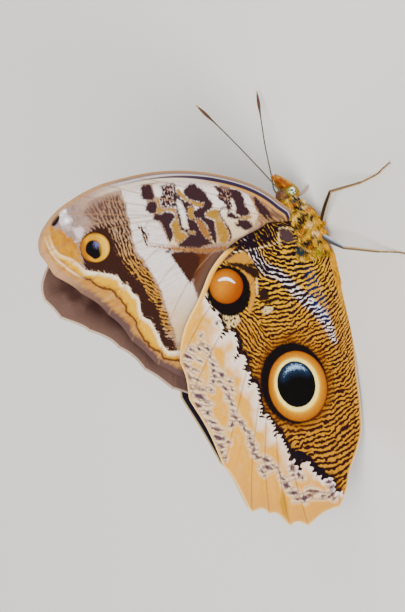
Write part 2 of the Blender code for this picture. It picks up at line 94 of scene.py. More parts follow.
FORE_FORM = FORE_HINGE, FORE_FRONT, FORE_VEINS, FORE_INNER, FORE_SCALLOP, FORE_CELL
HIND_FORM = HIND_HINGE, HIND_FRONT, HIND_VEINS, HIND_INNER, HIND_SCALLOP, HIND_CELL
LEFT_FOREWING_SWING = 8.0      # degrees that the left forewing sits further back

LEFT_HINDWING_SIZE = 0.982     # so that it hardly shows past the right one

SHEET = 0.16                   # thickness of a wing with its scales
GRID = 0.26                    # mm between a sheet's points
LOWEST = 0.01                  # mm above the floor for any point, and for a sheet's middle
SHEET_LOWEST = 0.09
FAR = 4.0                      # mm, the most that a depth or a distance counts

# The markings were placed as the camera sees them on flat planes this far from the middle
FORE_PLANE = 1.8
HIND_PLANE = 3.0
VIEW_SLOPE = 0.78              # the tangent of the camera's height


def linear(code):
    """A linear colour from an sRGB hex code."""
    parts = [int(code[start:start + 2], 16) / 255 for start in (1, 3, 5)]
    return (*[part / 12.92 if part < 0.04045 else ((part + 0.055) / 1.055) ** 2.4 for part in parts], 1.0)


class Value:
    """What a socket of a material gives: a number, a place or a colour. Arithmetic adds nodes."""

    def __init__(self, tree, socket):
        self.tree = tree
        self.socket = socket

    def math(self, operation, *others):
        return add(self.tree, "Math", {"operation": operation, **dict(enumerate((self, *others)))})

    def __add__(self, other):
        return self.math("ADD", other)

    def __sub__(self, other):
        return self.math("SUBTRACT", other)

    def __mul__(self, other):
        return self.math("MULTIPLY", other)

    def __abs__(self):
        return self.math("ABSOLUTE")


def add(tree, kind, given, output=0):
    """Adds a shader node and gives its output. Given are its properties, and its inputs as
    numbers or Values, by name or by place."""
    new = tree.nodes.new("ShaderNode" + kind)
    for key, value in given.items():
        if isinstance(value, Value):
            tree.links.new(value.socket, new.inputs[key])
        elif isinstance(key, str) and hasattr(new, key):
            setattr(new, key, value)
        else:
            new.inputs[key].default_value = value
    return Value(tree, new.outputs[output])


def surface(name, roughness, specular=0.5):
    """A new material, with its tree and its shader."""
    material = bpy.data.materials.new(name)
    material.use_nodes = True
    shader = material.node_tree.nodes["Principled BSDF"]
    shader.inputs["Roughness"].default_value = roughness
    shader.inputs["Specular IOR Level"].default_value = specular
    return material, material.node_tree, shader


def field(tree, name):
    """A number kept at the mesh's points."""
    return add(tree, "Attribute", {"attribute_name": name}, "Fac")


def place_field(tree, name):
    """A place kept at the mesh's points."""
    return add(tree, "Attribute", {"attribute_name": name}, "Vector")


def axis_of(place, name):
    return add(place.tree, "SeparateXYZ", {0: place}, name)


def span(value, low, high, top=1.0, bottom=0.0):
    """0 at one value and 1 at the other, or another bottom and top."""
    given = {"From Min": low, "From Max": high, "To Min": bottom, "To Max": top, "Value": value}
    return add(value.tree, "MapRange", given)


def cover(depth, edge, ragged=None, low=0.0):
    """From a depth inside a marking to 0 outside and 1 inside, across an edge that wide in mm."""
    if ragged:
        depth = depth + ragged
    return add(depth.tree, "MapRange", {"interpolation_type": "SMOOTHSTEP", "From Min": low - edge,
                                        "From Max": low + edge, "Value": depth})


def lay(under, colour, amount):
    """One colour laid over another, by an amount from 0 to 1. Colours are hex codes or Values."""
    under, colour = [linear(part) if isinstance(part, str) else part for part in (under, colour)]
    return add(amount.tree, "Mix", {"data_type": "RGBA", 0: amount, 6: under, 7: colour}, 2)


def mottle(place, per_mm, stretch=(1, 1, 1), detail=2.0, reach=1.0):
    """Soft noise round 0 at a place in mm, of that many blotches to a mm."""
    grain = add(place.tree, "Mapping", {"Scale": [per_mm * part for part in stretch], "Vector": place})
    noise = add(place.tree, "TexNoise", {"Scale": 1.0, "Detail": detail, "Vector": grain})
    return add(place.tree, "MapRange", {"From Min": 0.3, "From Max": 0.7, "To Min": -reach, "To Max": reach,
                                        "clamp": False, "Value": noise})


def paint(shader, colour, height=None, strength=0.0, depth=0.0):
    """Gives a shader its colour and a fine relief, whose depth is in mm."""
    colour.tree.links.new(colour.socket, shader.inputs["Base Color"])
    if height:
        bump = add(height.tree, "Bump", {"Strength": strength, "Distance": depth * MM, "Height": height})
        height.tree.links.new(bump.socket, shader.inputs["Normal"])


def smooth_line(points, parts):
    """Points on a Catmull-Rom curve through the given rows of numbers."""
    rows = [np.array(point, float) for point in points]
    rows = [2 * rows[0] - rows[1], *rows, 2 * rows[-1] - rows[-2]]
    line = []
    for before, start, end, after in zip(rows, rows[1:], rows[2:], rows[3:]):
        for index in range(parts):
            t = index / parts
            curve = 2 * start + (end - before) * t + (2 * before - 5 * start + 4 * end - after) * t * t
            line.append((curve + (3 * start - before - 3 * end + after) * t ** 3) / 2)
    line.append(rows[-2])
    return np.array(line)


def to_segment(x, z, start, end):
    """Distance of each place to a short line, and how far along it the nearest point is."""
    along = end - start
    length = max(float(along @ along), 1e-9)
    t = np.clip(((x - start[0]) * along[0] + (z - start[1]) * along[1]) / length, 0, 1)
    return np.hypot(x - start[0] - along[0] * t, z - start[1] - along[1] * t), t


def in_stroke(x, z, route):
    """Depth inside a line whose rows are x, z and half width; below 0 outside it."""
    line = smooth_line(route, 4) if len(route) > 2 else np.array(route, float)
    depth = np.full(len(x), -FAR)
    reach = FAR + line[:, 2].max()
    near = (x > line[:, 0].min() - reach) & (x < line[:, 0].max() + reach)
    near &= (z > line[:, 1].min() - reach) & (z < line[:, 1].max() + reach)
    spot = np.flatnonzero(near)
    best = depth[spot]
    for start, end in zip(line, line[1:]):
        distance, t = to_segment(x[spot], z[spot], start[:2], end[:2])
        best = np.maximum(best, start[2] + (end[2] - start[2]) * t - distance)
    depth[spot] = best
    return depth


def in_outline(x, z, outline):
    """Depth inside a closed outline; below 0 outside it."""
    points = np.array(outline, float)
    inside = np.zeros(len(x), bool)
    nearest = np.full(len(x), 1e9)
    for start, end in zip(points, np.roll(points, -1, axis=0)):
        nearest = np.minimum(nearest, to_segment(x, z, start, end)[0])
        if start[1] != end[1]:
            crossing = (start[1] > z) != (end[1] > z)
            at = start[0] + (z - start[1]) / (end[1] - start[1]) * (end[0] - start[0])
            inside ^= crossing & (x < at)
    return np.where(inside, nearest, -nearest)


def in_oval(x, z, centre, half, lean=0.0):
    """Depth inside an oval, in mm, measured along the line to its centre."""
    turn = radians(lean)
    across = (x - centre[0]) * cos(turn) + (z - centre[1]) * sin(turn)
    up = (z - centre[1]) * cos(turn) - (x - centre[0]) * sin(turn)
    ratio = np.maximum(np.hypot(across / half[0], up / half[1]), 1e-6)
    return np.hypot(across, up) * (1 / ratio - 1)


def smooth_step(value):
    value = np.clip(value, 0, 1)
    return value * value * (3 - 2 * value)


# Shape of the wings

def reach(edge, angle):
    """Length of a wing's margin line at an angle, by a cubic through its polar points."""
    index = 1
    while index < len(edge) - 1 and edge[index][0] < angle:
        index += 1
    start, end = edge[index - 1], edge[index]
    span = end[0] - start[0]
    before = edge[max(index - 2, 0)]
    after = edge[min(index + 1, len(edge) - 1)]
    rise_start = (end[1] - before[1]) / (end[0] - before[0])
    rise_end = (after[1] - start[1]) / (after[0] - start[0])
    t = (angle - start[0]) / span
    value = (2 * t ** 3 - 3 * t * t + 1) * start[1] + (3 * t * t - 2 * t ** 3) * end[1]
    return value + (t ** 3 - 2 * t * t + t) * span * rise_start + (t ** 3 - t * t) * span * rise_end


def polar(hinge, angle, length):
    return hinge + length * np.array((cos(radians(angle)), sin(radians(angle))))


def outline_of(hinge, front, veins, inner, scallop, swing):
    """Points round a wing, with a shallow bay between each two vein tips."""
    tips = sorted(tip[0] for start, tip in veins)
    edge = sorted(front + tuple(tip for start, tip in veins) + inner)
    depth, first_bay = scallop
    points = []
    for start, end in zip(edge, edge[1:]):
        chord = np.linalg.norm(polar(hinge, *start) - polar(hinge, *end))
        count = max(2, round(chord / 0.6))
        for index in range(count):
            angle = start[0] + (end[0] - start[0]) * index / count
            length = reach(edge, angle)
            for low, high in zip(tips, tips[1:]):
                if low >= first_bay and low < angle < high:
                    length -= depth * sin(pi * (angle - low) / (high - low))
            points.append(polar(hinge, angle + swing, length))
    points.append(polar(hinge, edge[-1][0] + swing, edge[-1][1]))
    return np.array(points)


def vein_lines(hinge, veins, cell, swing):
    """Gentle curves along the veins, on which angle and length change evenly."""
    pairs = list(veins) + [pair for bar in cell for pair in zip(bar, bar[1:])]
    lines = []
    for start, end in pairs:
        steps = np.linspace(0, 1, 8)
        lines.append([polar(hinge, start[0] + (end[0] - start[0]) * t + swing,
                            start[1] + (end[1] - start[1]) * t) for t in steps])
    return lines


def layer(x, z, is_hind):
    """Distance of a wing's sheet from the middle plane, as in the part."""
    beside_body = smooth_step((x + 45.0) / 20.0)
    straddle = 2.1 * beside_body * np.exp(-np.maximum(z - 9.0, 0.0) / 10.0)
    lean = 0.5 * smooth_step((np.hypot(x - FORE_HINGE[0], z - FORE_HINGE[1]) - 45.0) / 35.0)
    if not is_hind:
        return 0.75 + straddle + lean
    covering = smooth_step((x + 54.0) / 17.0)
    curl = 1.3 * beside_body * np.maximum(0.0, 1 - z / 8.0) ** 2
    return 0.75 + straddle + 1.15 * covering - curl


def select_none():
    if bpy.context.object and bpy.context.object.mode != "OBJECT":
        bpy.ops.object.mode_set(mode="OBJECT")
    bpy.ops.object.select_all(action="DESELECT")


def turn_inside_out():
    """Turns the faces of the active mesh round."""
    bpy.ops.object.mode_set(mode="EDIT")
    bpy.ops.mesh.select_all(action="SELECT")
    bpy.ops.mesh.flip_normals()
    bpy.ops.object.mode_set(mode="OBJECT")


def numbers_of(mesh, name="co"):
    values = np.zeros(len(mesh.vertices) * 3)
    mesh.vertices.foreach_get(name, values)
    return values.reshape(-1, 3)


def keep(mesh, name, values):
    """Stores a number or a place at each point of a mesh."""
    is_place = np.ndim(values) == 2
    layer_kind = "FLOAT_VECTOR" if is_place else "FLOAT"
    store = mesh.attributes.new(name, layer_kind, "POINT")
    store.data.foreach_set("vector" if is_place else "value", np.ravel(values).astype(np.float32))


def place(mesh, rows):
    """Puts a mesh's points at places given in the insect's frame, none of them below the floor."""
    spots = np.array(rows, float)
    spots[:, 2] = np.maximum(spots[:, 2], LOWEST)
    spots[:, 0] += SHIFT
    mesh.vertices.foreach_set("co", (spots * MM).ravel())
    mesh.update()


def apply_all(item):
    bpy.context.view_layer.objects.active = item
    for step in list(item.modifiers):
        bpy.ops.object.modifier_apply(modifier=step.name)


def wing(name, side, is_hind, swing, outer, inner):
    """A wing's thin sheet: a fine grid cut to the outline, bowed, veined, with its markings kept."""
    hinge, front, veins, back, scallop, cell = HIND_FORM if is_hind else FORE_FORM
    outline = outline_of(hinge, front, veins, back, scallop, swing)
    if is_hind and side == LEFT:
        outline = hinge + (outline - hinge) * LEFT_HINDWING_SIZE
    low = outline.min(axis=0) - GRID
    high = outline.max(axis=0) + GRID
    across, up = [ceil((high[axis] - low[axis]) / GRID) for axis in (0, 1)]

    select_none()
    bpy.ops.mesh.primitive_grid_add(x_subdivisions=across, y_subdivisions=up, size=1.0)
    item = bpy.context.object
    item.name = name
    mesh = item.data
    flat = numbers_of(mesh)
    x = low[0] + (flat[:, 0] + 0.5) * (high[0] - low[0])
    z = low[1] + (flat[:, 1] + 0.5) * (high[1] - low[1])
    depth = in_outline(x, z, outline)
    mesh.vertices.foreach_set("co", np.column_stack((x, z, 0 * x)).ravel())
    mesh.vertices.foreach_set("select", depth < -0.5 * GRID)
    mesh.edges.foreach_set("select", np.zeros(len(mesh.edges), bool))
    mesh.polygons.foreach_set("select", np.zeros(len(mesh.polygons), bool))
    bpy.ops.object.mode_set(mode="EDIT")
    bpy.ops.mesh.select_mode(type="VERT")
    bpy.ops.mesh.delete(type="VERT")
    bpy.ops.mesh.select_all(action="SELECT")
    bpy.ops.mesh.region_to_loop()
    bpy.ops.object.mode_set(mode="OBJECT")

    # the border's points move onto the outline
    flat = numbers_of(mesh)
    x, z = flat[:, 0].copy(), flat[:, 1].copy()
    on_border = np.zeros(len(x), bool)
    mesh.vertices.foreach_get("select", on_border)
    moved = np.flatnonzero(on_border | (np.abs(in_outline(x, z, outline)) < 0.5 * GRID))
    nearest = np.full(len(moved), 1e9)
    target = np.zeros((len(moved), 2))
    for start, end in zip(outline, np.roll(outline, -1, axis=0)):
        distance, t = to_segment(x[moved], z[moved], start, end)
        closer = distance < nearest
        nearest[closer] = distance[closer]
        target[closer] = start + (end - start) * t[closer, None]
    x[moved], z[moved] = target[:, 0], target[:, 1]

    edge = in_outline(x, z, outline)
    vein = np.full(len(x), FAR)
    for line in vein_lines(hinge, veins, cell, swing):
        for start, end in zip(line, line[1:]):
            vein = np.minimum(vein, to_segment(x, z, start, end)[0])
    sheet_y = layer(x, z, is_hind)

    # veins stand up a little, and the membrane between them bulges towards the margin
    rise = 0.10 * np.exp(-(vein / 0.22) ** 2)
    swell = (1 - np.exp(-(vein / 1.6) ** 2)) * np.exp(-np.maximum(edge - 2, 0) / 9)
    rise += 0.16 * swell * np.clip(edge / 1.5, 0, 1)
    place(mesh, np.column_stack((x, side * (sheet_y + rise), np.maximum(z, SHEET_LOWEST))))

    # where each point lies in the pattern, which turns with a swung wing
    plane = HIND_PLANE if is_hind else FORE_PLANE
    turn = radians(-swing)
    own_x = hinge[0] + (x - hinge[0]) * cos(turn) - (z - hinge[1]) * sin(turn)
    own_z = hinge[1] + (x - hinge[0]) * sin(turn) + (z - hinge[1]) * cos(turn)
    px, pz = own_x, own_z + VIEW_SLOPE * (plane - sheet_y)
    keep(mesh, "spot", np.column_stack((px, pz, 0 * px)))
    keep(mesh, "edge", np.clip(edge, 0, FAR * 3))
    keep(mesh, "vein", vein)
    bearing = np.degrees(np.arctan2(own_z - hinge[1], own_x - hinge[0])) % 360
    keep(mesh, "ray", np.column_stack((bearing, np.hypot(own_z - hinge[1], own_x - hinge[0]), 0 * px)))
    marks = hind_marks(px, pz) if is_hind else fore_marks(px, pz)
    for key, values in marks.items():
        keep(mesh, key, values)

    if side == LEFT:
        turn_inside_out()
    mesh.materials.append(outer)
    mesh.materials.append(inner)
    shell = item.modifiers.new("shell", "SOLIDIFY")
    shell.thickness = SHEET * MM
    shell.offset = 0.0
    shell.material_offset = 1
    apply_all(item)
    bpy.ops.object.shade_smooth_by_angle(angle=radians(50))
    return item


# Markings of the hindwing's underside

def lie_of_lines(x, z, table):
    """Angle and spacing of the ripples, blended between the places of a table."""
    total = 0
    turn_x = 0
    turn_z = 0
    spacing = 0
    for spot_x, spot_z, angle, gap in table:
        weight = 1 / ((x - spot_x) ** 2 + (z - spot_z) ** 2 + 3.0) ** 2
        total = total + weight
        turn_x = turn_x + weight * cos(radians(2 * angle))
        turn_z = turn_z + weight * sin(radians(2 * angle))
        spacing = spacing + weight * gap
    angle = np.degrees(np.arctan2(turn_z, turn_x)) / 2
    angle = np.where(angle < -25, angle + 180, angle)
    return np.radians(angle - 90), spacing / total


# x, z, direction of the lines in degrees and their spacing in mm
HIND_LIE = ((-60, 12, 112, 1.15), (-57, 18, 80, 1.3), (-52, 18, 82, 1.25), (-50, 24, 98, 1.15),
            (-47, 21, 85, 1.15), (-50, 10, 108, 1.1), (-46, 14, 95, 1.1), (-45, 6, 112, 1),
            (-38, 8, 98, 0.95), (-30, 8, 95, 0.95), (-36, 3, 122, 0.8), (-29, 3, 125, 0.72),
            (-24, 2.5, 128, 0.72), (-19, 2.5, 128, 0.78), (-14, 2.5, 135, 0.85), (-11, 3, 138, 0.8),
            (-13, 5.5, 115, 0.95), (-17, 5, 112, 1), (-24, 8, 88, 0.95), (-22, 14, 105, 0.95),
            (-20, 20, 86, 1), (-19, 12, 112, 0.95), (-24, 20, 92, 0.9), (-15, 19, 82, 1.1),
            (-11, 18, 72, 1.1), (-17, 9, 96, 1.15), (-13, 9, 98, 1.15), (-13, 12.5, 88, 1.2),
            (-8, 15, 80, 1), (-6, 12.5, 80, 1.1), (-5, 18, 62, 1), (-6.5, 22, 30, 0.95), (-5, 22, 5, 0.95),
            (-2, 18, 20, 1.15), (0, 20, 26, 1.15), (0, 24, 30, 1.15), (-1, 16.5, 15, 0.9), (1, 14, 70, 0.5),
            (-1.5, 27, 40, 1.1), (-15, 24.5, 84, 1), (-20, 24, 78, 0.9), (-22, 28, 15, 0.95),
            (-18, 31, 40, 0.95), (-23, 31, 40, 1), (-28, 30.5, 62, 1), (-38, 30.5, 70, 1),
            (-47, 26.5, 100, 1.1))

RIPPLED = ((3, 9), (2.6, 20), (1.2, 26), (-1.5, 32), (-6, 38), (-10.5, 39.4), (-12, 39.6), (-13.6, 39.2),
           (-14.6, 38.4), (-15, 37.2), (-16.5, 36.9), (-18, 37), (-19, 36.4), (-19.8, 36.8), (-21.3, 38.2),
           (-20.5, 36), (-20.3, 34.5), (-21, 34), (-23, 33.5), (-25, 34), (-27, 35.8), (-26.2, 34),
           (-26.2, 32.9), (-27.5, 32.2), (-28.6, 33), (-29.4, 33.6), (-30, 32.3), (-31.5, 32.4),
           (-33.4, 33.4), (-32.6, 32), (-33, 31), (-34.5, 30.9), (-36, 31), (-37.6, 31.4), (-39, 31.1),
           (-41.3, 32.3), (-40.5, 30.5), (-41.2, 29.8), (-42.4, 29.2), (-44, 28.8), (-45.4, 29.3),
           (-45.2, 28), (-46, 27.4), (-47.2, 27.2), (-48.5, 26.7), (-50, 26.5), (-51, 26.3), (-52.4, 26.6),
           (-52.2, 25.6), (-53.5, 25.2), (-54.7, 24.4), (-54, 23.8), (-53, 23.7), (-53.3, 22.5),
           (-53.2, 21.4), (-54.9, 20.8), (-56.3, 20.2), (-57.2, 19), (-58.4, 18.4), (-58.2, 16.6),
           (-58.6, 15.6), (-60.2, 15.2), (-61.4, 15.8), (-62.2, 14.2), (-62.8, 12.5), (-60, 6), (-50, -2),
           (-30, -5), (0, -5), (6, 0))

# rows are x, z and half width
WHITE_BAND = ((1.5, 24.6, 1.6), (-1.6, 24.2, 1.7), (-5, 23, 1.6), (-8, 21.4, 1.5), (-9.4, 18.8, 1.4),
              (-11.4, 16.4, 1.3), (-13.8, 14.6, 1.4), (-17, 12, 1.5), (-20.2, 9, 1.6), (-23.6, 7, 1.5),
              (-28, 6, 0.8))
# where the dark lines are broader: the strip beside the body and the corner behind
DARKER = (((0.8, 12, 1.4), (0.2, 16, 2.2), (-0.4, 20, 2.6), (-1, 24, 2.4), (-2, 28, 1.6), (-2.6, 31, 0.8)),
          ((-59, 16.6, 0.6), (-57, 18.2, 1.2), (-54.4, 20.8, 1.3), (-52.4, 23.6, 2.0), (-50.6, 25.4, 1.0),
           (-46, 27.2, 0.4)))
NAVY = ((-11.5, 8.6, 1.3), (-14.5, 8.3, 1.9), (-18, 8, 2.2), (-22, 6.6, 1.3))
PALE_VEINS = (((-3.6, 10.6, 0.06), (-8, 11.5, 0.10), (-11, 13, 0.10), (-13, 14.6, 0.10), (-16, 15.7, 0.08),
               (-20.5, 16.3, 0.0)),
              ((-8.5, 8.2, 0.0), (-11, 7.3, 0.06), (-14, 6.7, 0.08), (-18, 6.1, 0.08), (-24, 5.8, 0.08),
               (-33, 6.3, 0.03), (-42, 7.2, 0.0)),
              ((-3.2, 29, 0.22), (-3.4, 24, 0.18), (-3.4, 19, 0.16), (-3.1, 15.5, 0.12)))

PUPIL = ((-35.55, 19.7), (5.25, 5.5))
RING = ((-36.1, 19.4), (8.2, 8.65))
HALO = ((-35.2, 20.3), (9.35, 9.75))
CRESCENT = ((-33.2, 15.8, 0.4), (-32, 17.4, 0.9), (-31.6, 19.4, 1.05), (-32, 21.4, 0.8), (-33.2, 23, 0.3))
ORANGE_SPOT = ((-10.25, 33.2), (3.95, 4.85))
ORANGE_RIM = ((-11.4, 32.7), (5.8, 6.2))
ORANGE_GLINT = ((-8.6, 35.0, 0.18), (-8.5, 33.4, 0.36), (-8.9, 31.9, 0.36), (-9.9, 30.6, 0.16))

# colour, then rows of x, z and half width for a stroke, or rows of x and z for a patch
HIND_STROKES = (
    ("gold", ((-64.4, 31.3, 0.3), (-62.4, 31.2, 0.9), (-60.4, 31, 0.9), (-59, 30.8, 0.3))),
    ("tan", ((-17.2, 28.4, 0.35), (-15, 27, 0.7), (-12.6, 26, 0.8), (-9.8, 25.9, 0.9), (-8, 27.2, 0.6),
        (-6.2, 30, 0.45), (-5.6, 31.6, 0.2))),
    ("brown", ((-6.6, 28.9), (-7.8, 27), (-9.6, 25.2), (-10.3, 24.2), (-9, 22.8), (-7.8, 23.4),
        (-6.9, 25.6), (-5.9, 27.6), (-5.3, 30.4), (-5.6, 31.6))),
    ("tan", ((-5.2, 30.6), (-6, 27.4), (-7.4, 24.2), (-6.2, 23.8), (-4.4, 25), (-3.4, 26), (-3.8, 29.6),
        (-4.6, 32.4))),
    ("brown", ((-6.4, 26.6, 0.12), (-6.9, 24.6, 0.4), (-7.4, 23.2, 0.25))),
    ("slate", ((-4.9, 33.8, 0.3), (-4.2, 31.8, 0.45), (-3.6, 29.6, 0.3))),
    ("pale", ((-13.4, 24.9, 0.15), (-11.8, 24.5, 0.3), (-10.2, 24.2, 0.2))),
    ("brown", ((-15.2, 24.6), (-12.8, 24.4), (-12.4, 22.4), (-14, 21.6), (-15.6, 22.4))),
    ("brown", ((-16.2, 23.4, 0.3), (-15.8, 21.6, 0.5), (-15.6, 19.4, 0.25))),
    ("pale", ((-17.7, 24, 0.55), (-17.6, 22.9, 0.8), (-17.7, 21.7, 0.25))),
    ("slate", ((-3.9, 11.6), (-3.4, 14.2), (-2.2, 14.7), (-0.8, 14.7), (-0.3, 13.2), (-1, 11.2),
        (-3.3, 10.6))),
    ("pale", ((-4.2, 15.3, 0.1), (-2.2, 15.2, 0.2), (-0.3, 14.8, 0.1))),
    ("pale", ((-1, 10.6, 0.05), (-0.3, 12.6, 0.12), (-0.1, 14.6, 0.08))),
    ("pale", ((-18.8, 36.2), (-16.6, 36.2), (-15.6, 35), (-16.6, 33.4), (-17, 31.6), (-18.6, 31.6),
        (-19.6, 33.2), (-20, 35))),
    ("pale", ((-14.8, 37.6, 0.3), (-13.6, 38.4, 0.4), (-11.8, 38.9, 0.35), (-10.2, 38.8, 0.2))),
)

# dashes in the cream zone: x, z, half length, half width and lean in degrees
FLECKS = ((-57.3, 29.2, 0.9, 0.42, 66), (-59.3, 27.6, 1.2, 0.36, 70), (-61, 27, 0.9, 0.2, 84),
          (-61.2, 24.9, 0.9, 0.46, 86), (-60.9, 23.1, 0.9, 0.34, 74), (-60.1, 22.2, 1.7, 0.26, 76),
          (-61.8, 19.6, 0.9, 0.2, 82), (-62.1, 17, 1.3, 0.34, 102), (-62.9, 16.6, 0.7, 0.18, 85),
          (-59.1, 16.8, 0.8, 0.32, 95), (-60.4, 16.4, 1, 0.16, 104), (-61, 14.6, 0.9, 0.34, 104),
          (-53.8, 26.3, 0.6, 0.46, 95), (-55.5, 26.5, 0.4, 0.2, 90), (-55.6, 25, 0.5, 0.32, 150),
          (-56.6, 24.2, 0.4, 0.14, 60), (-55.7, 29.7, 0.7, 0.22, 60), (-54, 30.3, 0.9, 0.12, 12),
          (-52.4, 31.2, 0.7, 0.14, 60), (-52.3, 33.2, 1.4, 0.34, 64), (-50.5, 33.2, 1.4, 0.26, 60),
          (-53, 35, 0.8, 0.22, 20), (-49.4, 35.4, 0.8, 0.22, 60), (-48.6, 36.2, 0.5, 0.16, 66),
          (-47.5, 36, 0.6, 0.24, 66), (-46.2, 36.2, 0.7, 0.24, 70), (-44.9, 36.3, 0.7, 0.2, 74),
          (-43.6, 36.4, 0.7, 0.2, 62), (-42.2, 37.4, 0.8, 0.16, 20), (-40.8, 38, 1, 0.2, 62),
          (-39.4, 39.3, 0.9, 0.22, 56), (-40.8, 40.5, 0.7, 0.22, 130), (-38, 39.4, 0.6, 0.14, 30),
          (-36.2, 39.2, 0.6, 0.18, 36), (-34.7, 39.6, 0.8, 0.24, 38), (-32.6, 40, 1, 0.24, 34),
          (-30.8, 41.1, 0.6, 0.24, 56), (-30.5, 43, 0.5, 0.24, 130), (-29.4, 40.2, 0.7, 0.34, 40),
          (-29.4, 42.3, 0.5, 0.26, 60), (-28.1, 42.2, 0.5, 0.26, 70), (-26.7, 42, 0.7, 0.24, 56),
          (-24.8, 42.3, 0.6, 0.18, 40), (-23, 42.4, 0.9, 0.24, 60), (-22.5, 44.8, 0.5, 0.18, 20),
          (-21.6, 43.6, 0.7, 0.12, 70), (-19.8, 43.5, 0.3, 0.16, 0), (-17.8, 38.2, 0.4, 0.18, 150),
          (-33.2, 38.2, 0.7, 0.16, 20), (-31.4, 38.3, 0.4, 0.2, 60), (-47.6, 45, 0.7, 0.2, 66),
          (-46.2, 45.2, 0.8, 0.22, 66), (-44.9, 45, 0.9, 0.3, 66), (-42.9, 45, 1.7, 0.36, 64),
          (-41, 45.2, 1.5, 0.24, 64), (-39.2, 45.8, 1, 0.18, 62), (-38.5, 48.2, 1.1, 0.3, 66),
          (-36.9, 46.6, 0.7, 0.24, 60), (-37, 49, 1.1, 0.28, 60), (-34.7, 48.9, 1.2, 0.38, 60),
          (-33, 47.7, 1.5, 0.42, 60), (-31.3, 46.8, 2, 0.14, 66), (-30.3, 49.9, 1.1, 0.32, 40),
          (-28, 49.6, 1.3, 0.26, 60), (-25.4, 49.8, 1.2, 0.4, 56), (-23.6, 48.4, 1.3, 0.32, 58),
          (-22.4, 46.8, 0.9, 0.14, 70), (-29.2, 47.2, 1, 0.12, 60), (-34.8, 46, 0.9, 0.14, 62),
          (-27, 47.4, 1, 0.1, 60), (-32.2, 44.2, 0.7, 0.12, 60), (-44.4, 42.6, 0.6, 0.1, 60),
          (-25.2, 45.4, 0.6, 0.1, 60))


def in_flecks(x, z):
    """Depth inside the dashes of the cream zone."""
    depth = np.full(len(x), -FAR)
    for middle_x, middle_z, length, width, lean in FLECKS:
        near = np.flatnonzero((np.abs(x - middle_x) < 3) & (np.abs(z - middle_z) < 3))
        turn = radians(lean)
        ahead = np.array((cos(turn), sin(turn))) * length * 0.9
        middle = np.array((middle_x, middle_z))
        for start, end, low, high in ((middle - ahead, middle, 0.45, 1.0),
                                      (middle, middle + ahead, 1.0, 0.4)):
            distance, t = to_segment(x[near], z[near], start, end)
            depth[near] = np.maximum(depth[near], (1.4 * width + 0.1) * (low + (high - low) * t) - distance)
    return depth


def painted(x, z, strokes, colours):
    """Depth inside each colour's markings, later strokes over the earlier ones."""
    depths = {colour: np.full(len(x), -FAR) for colour in colours}
    for colour, rows in strokes:
        inside = in_stroke(x, z, rows) if len(rows[0]) == 3 else in_outline(x, z, rows)
        for above in colours[colours.index(colour) + 1:]:
            depths[above] = np.minimum(depths[above], -inside)
        depths[colour] = np.maximum(depths[colour], np.clip(inside, -FAR, FAR))
    return depths


HIND_COLOURS = ("gold", "tan", "slate", "brown", "pale")


def shared_marks(x, z, strokes, colours, lie, rippled, pupil_oval, ring_oval, cut, cut_at):
    """What both wings keep: painted markings, ripples, and how far across the eyespot's ring."""
    pupil = in_oval(x, z, *pupil_oval)
    # the pupil is cut flatter at its upper rear
    pupil = np.minimum(pupil, cut_at - ((x - cut[0]) * -0.72 + (z - cut[1]) * 0.69))
    ring = in_oval(x, z, *ring_oval)
    across = np.where(ring > 0, -pupil / np.maximum(ring - pupil, 0.01), 1 - ring)
    marks = painted(x, z, strokes, colours)
    marks["ring"] = np.where(pupil > 0, -pupil, across)
    marks["lie"], spacing = lie_of_lines(x, z, lie)
    marks["fineness"] = 1 / spacing
    marks["rippled"] = np.clip(in_outline(x, z, rippled), -FAR, FAR)
    return marks


def hind_marks(x, z):
    """What is kept at each point for the hindwing's two faces."""
    marks = shared_marks(x, z, HIND_STROKES, HIND_COLOURS, HIND_LIE, RIPPLED, PUPIL, RING, PUPIL[0], 6.1)
    marks["fleck"] = in_flecks(x, z)
    marks["halo"] = in_oval(x, z, *HALO)
    marks["crescent"] = in_stroke(x, z, CRESCENT)
    marks["orange"] = in_oval(x, z, *ORANGE_SPOT)
    marks["rim"] = in_oval(x, z, *ORANGE_RIM)
    marks["glint"] = in_stroke(x, z, ORANGE_GLINT)
    marks["white"] = in_stroke(x, z, WHITE_BAND)
    marks["navy"] = in_stroke(x, z, NAVY)
    strip, corner = [in_stroke(x, z, line) for line in DARKER]
    marks["darker"] = 0.45 * smooth_step(strip + 0.4) + 1.3 * smooth_step(corner + 0.5)
    marks["pale_vein"] = np.max([in_stroke(x, z, line) for line in PALE_VEINS], axis=0)
    # 1 near the body, where the ripples are boldest, and 0 behind the great eyespot
    marks["bold"] = smooth_step((x + 26 - 0.25 * np.maximum(z - 22, 0)) / 14)
    return marks


# Markings of the forewing's underside

FORE_LIE = ((-18, 51, 80, 0.8), (-12, 52, 70, 0.8), (-7, 53.5, 52, 0.85), (-3, 56, 40, 0.9),
            (3, 57.5, 12, 0.9), (9, 58.5, 8, 0.95), (13, 58, 0, 1), (13, 63, 20, 1.1), (10, 65, 45, 1),
            (4, 55, 8, 0.9), (-6, 52, 45, 0.8))
FORE_RIPPLED = ((-21.5, 49.6), (-16, 49.8), (-12, 50.2), (-8, 50.4), (-5, 51.4), (-3, 52.4), (0, 53.6),
                (2, 55), (5, 55.1), (9, 54.8), (13, 55), (15.6, 55.6), (15.9, 60), (15.6, 63), (14.6, 65.5),
                (13, 67.8), (11.4, 67.6), (9.6, 65), (8, 68), (2, 62), (-10, 56))

FORE_COLOURS = ("grey", "ochre", "tan", "white", "brown", "marbled", "dark")
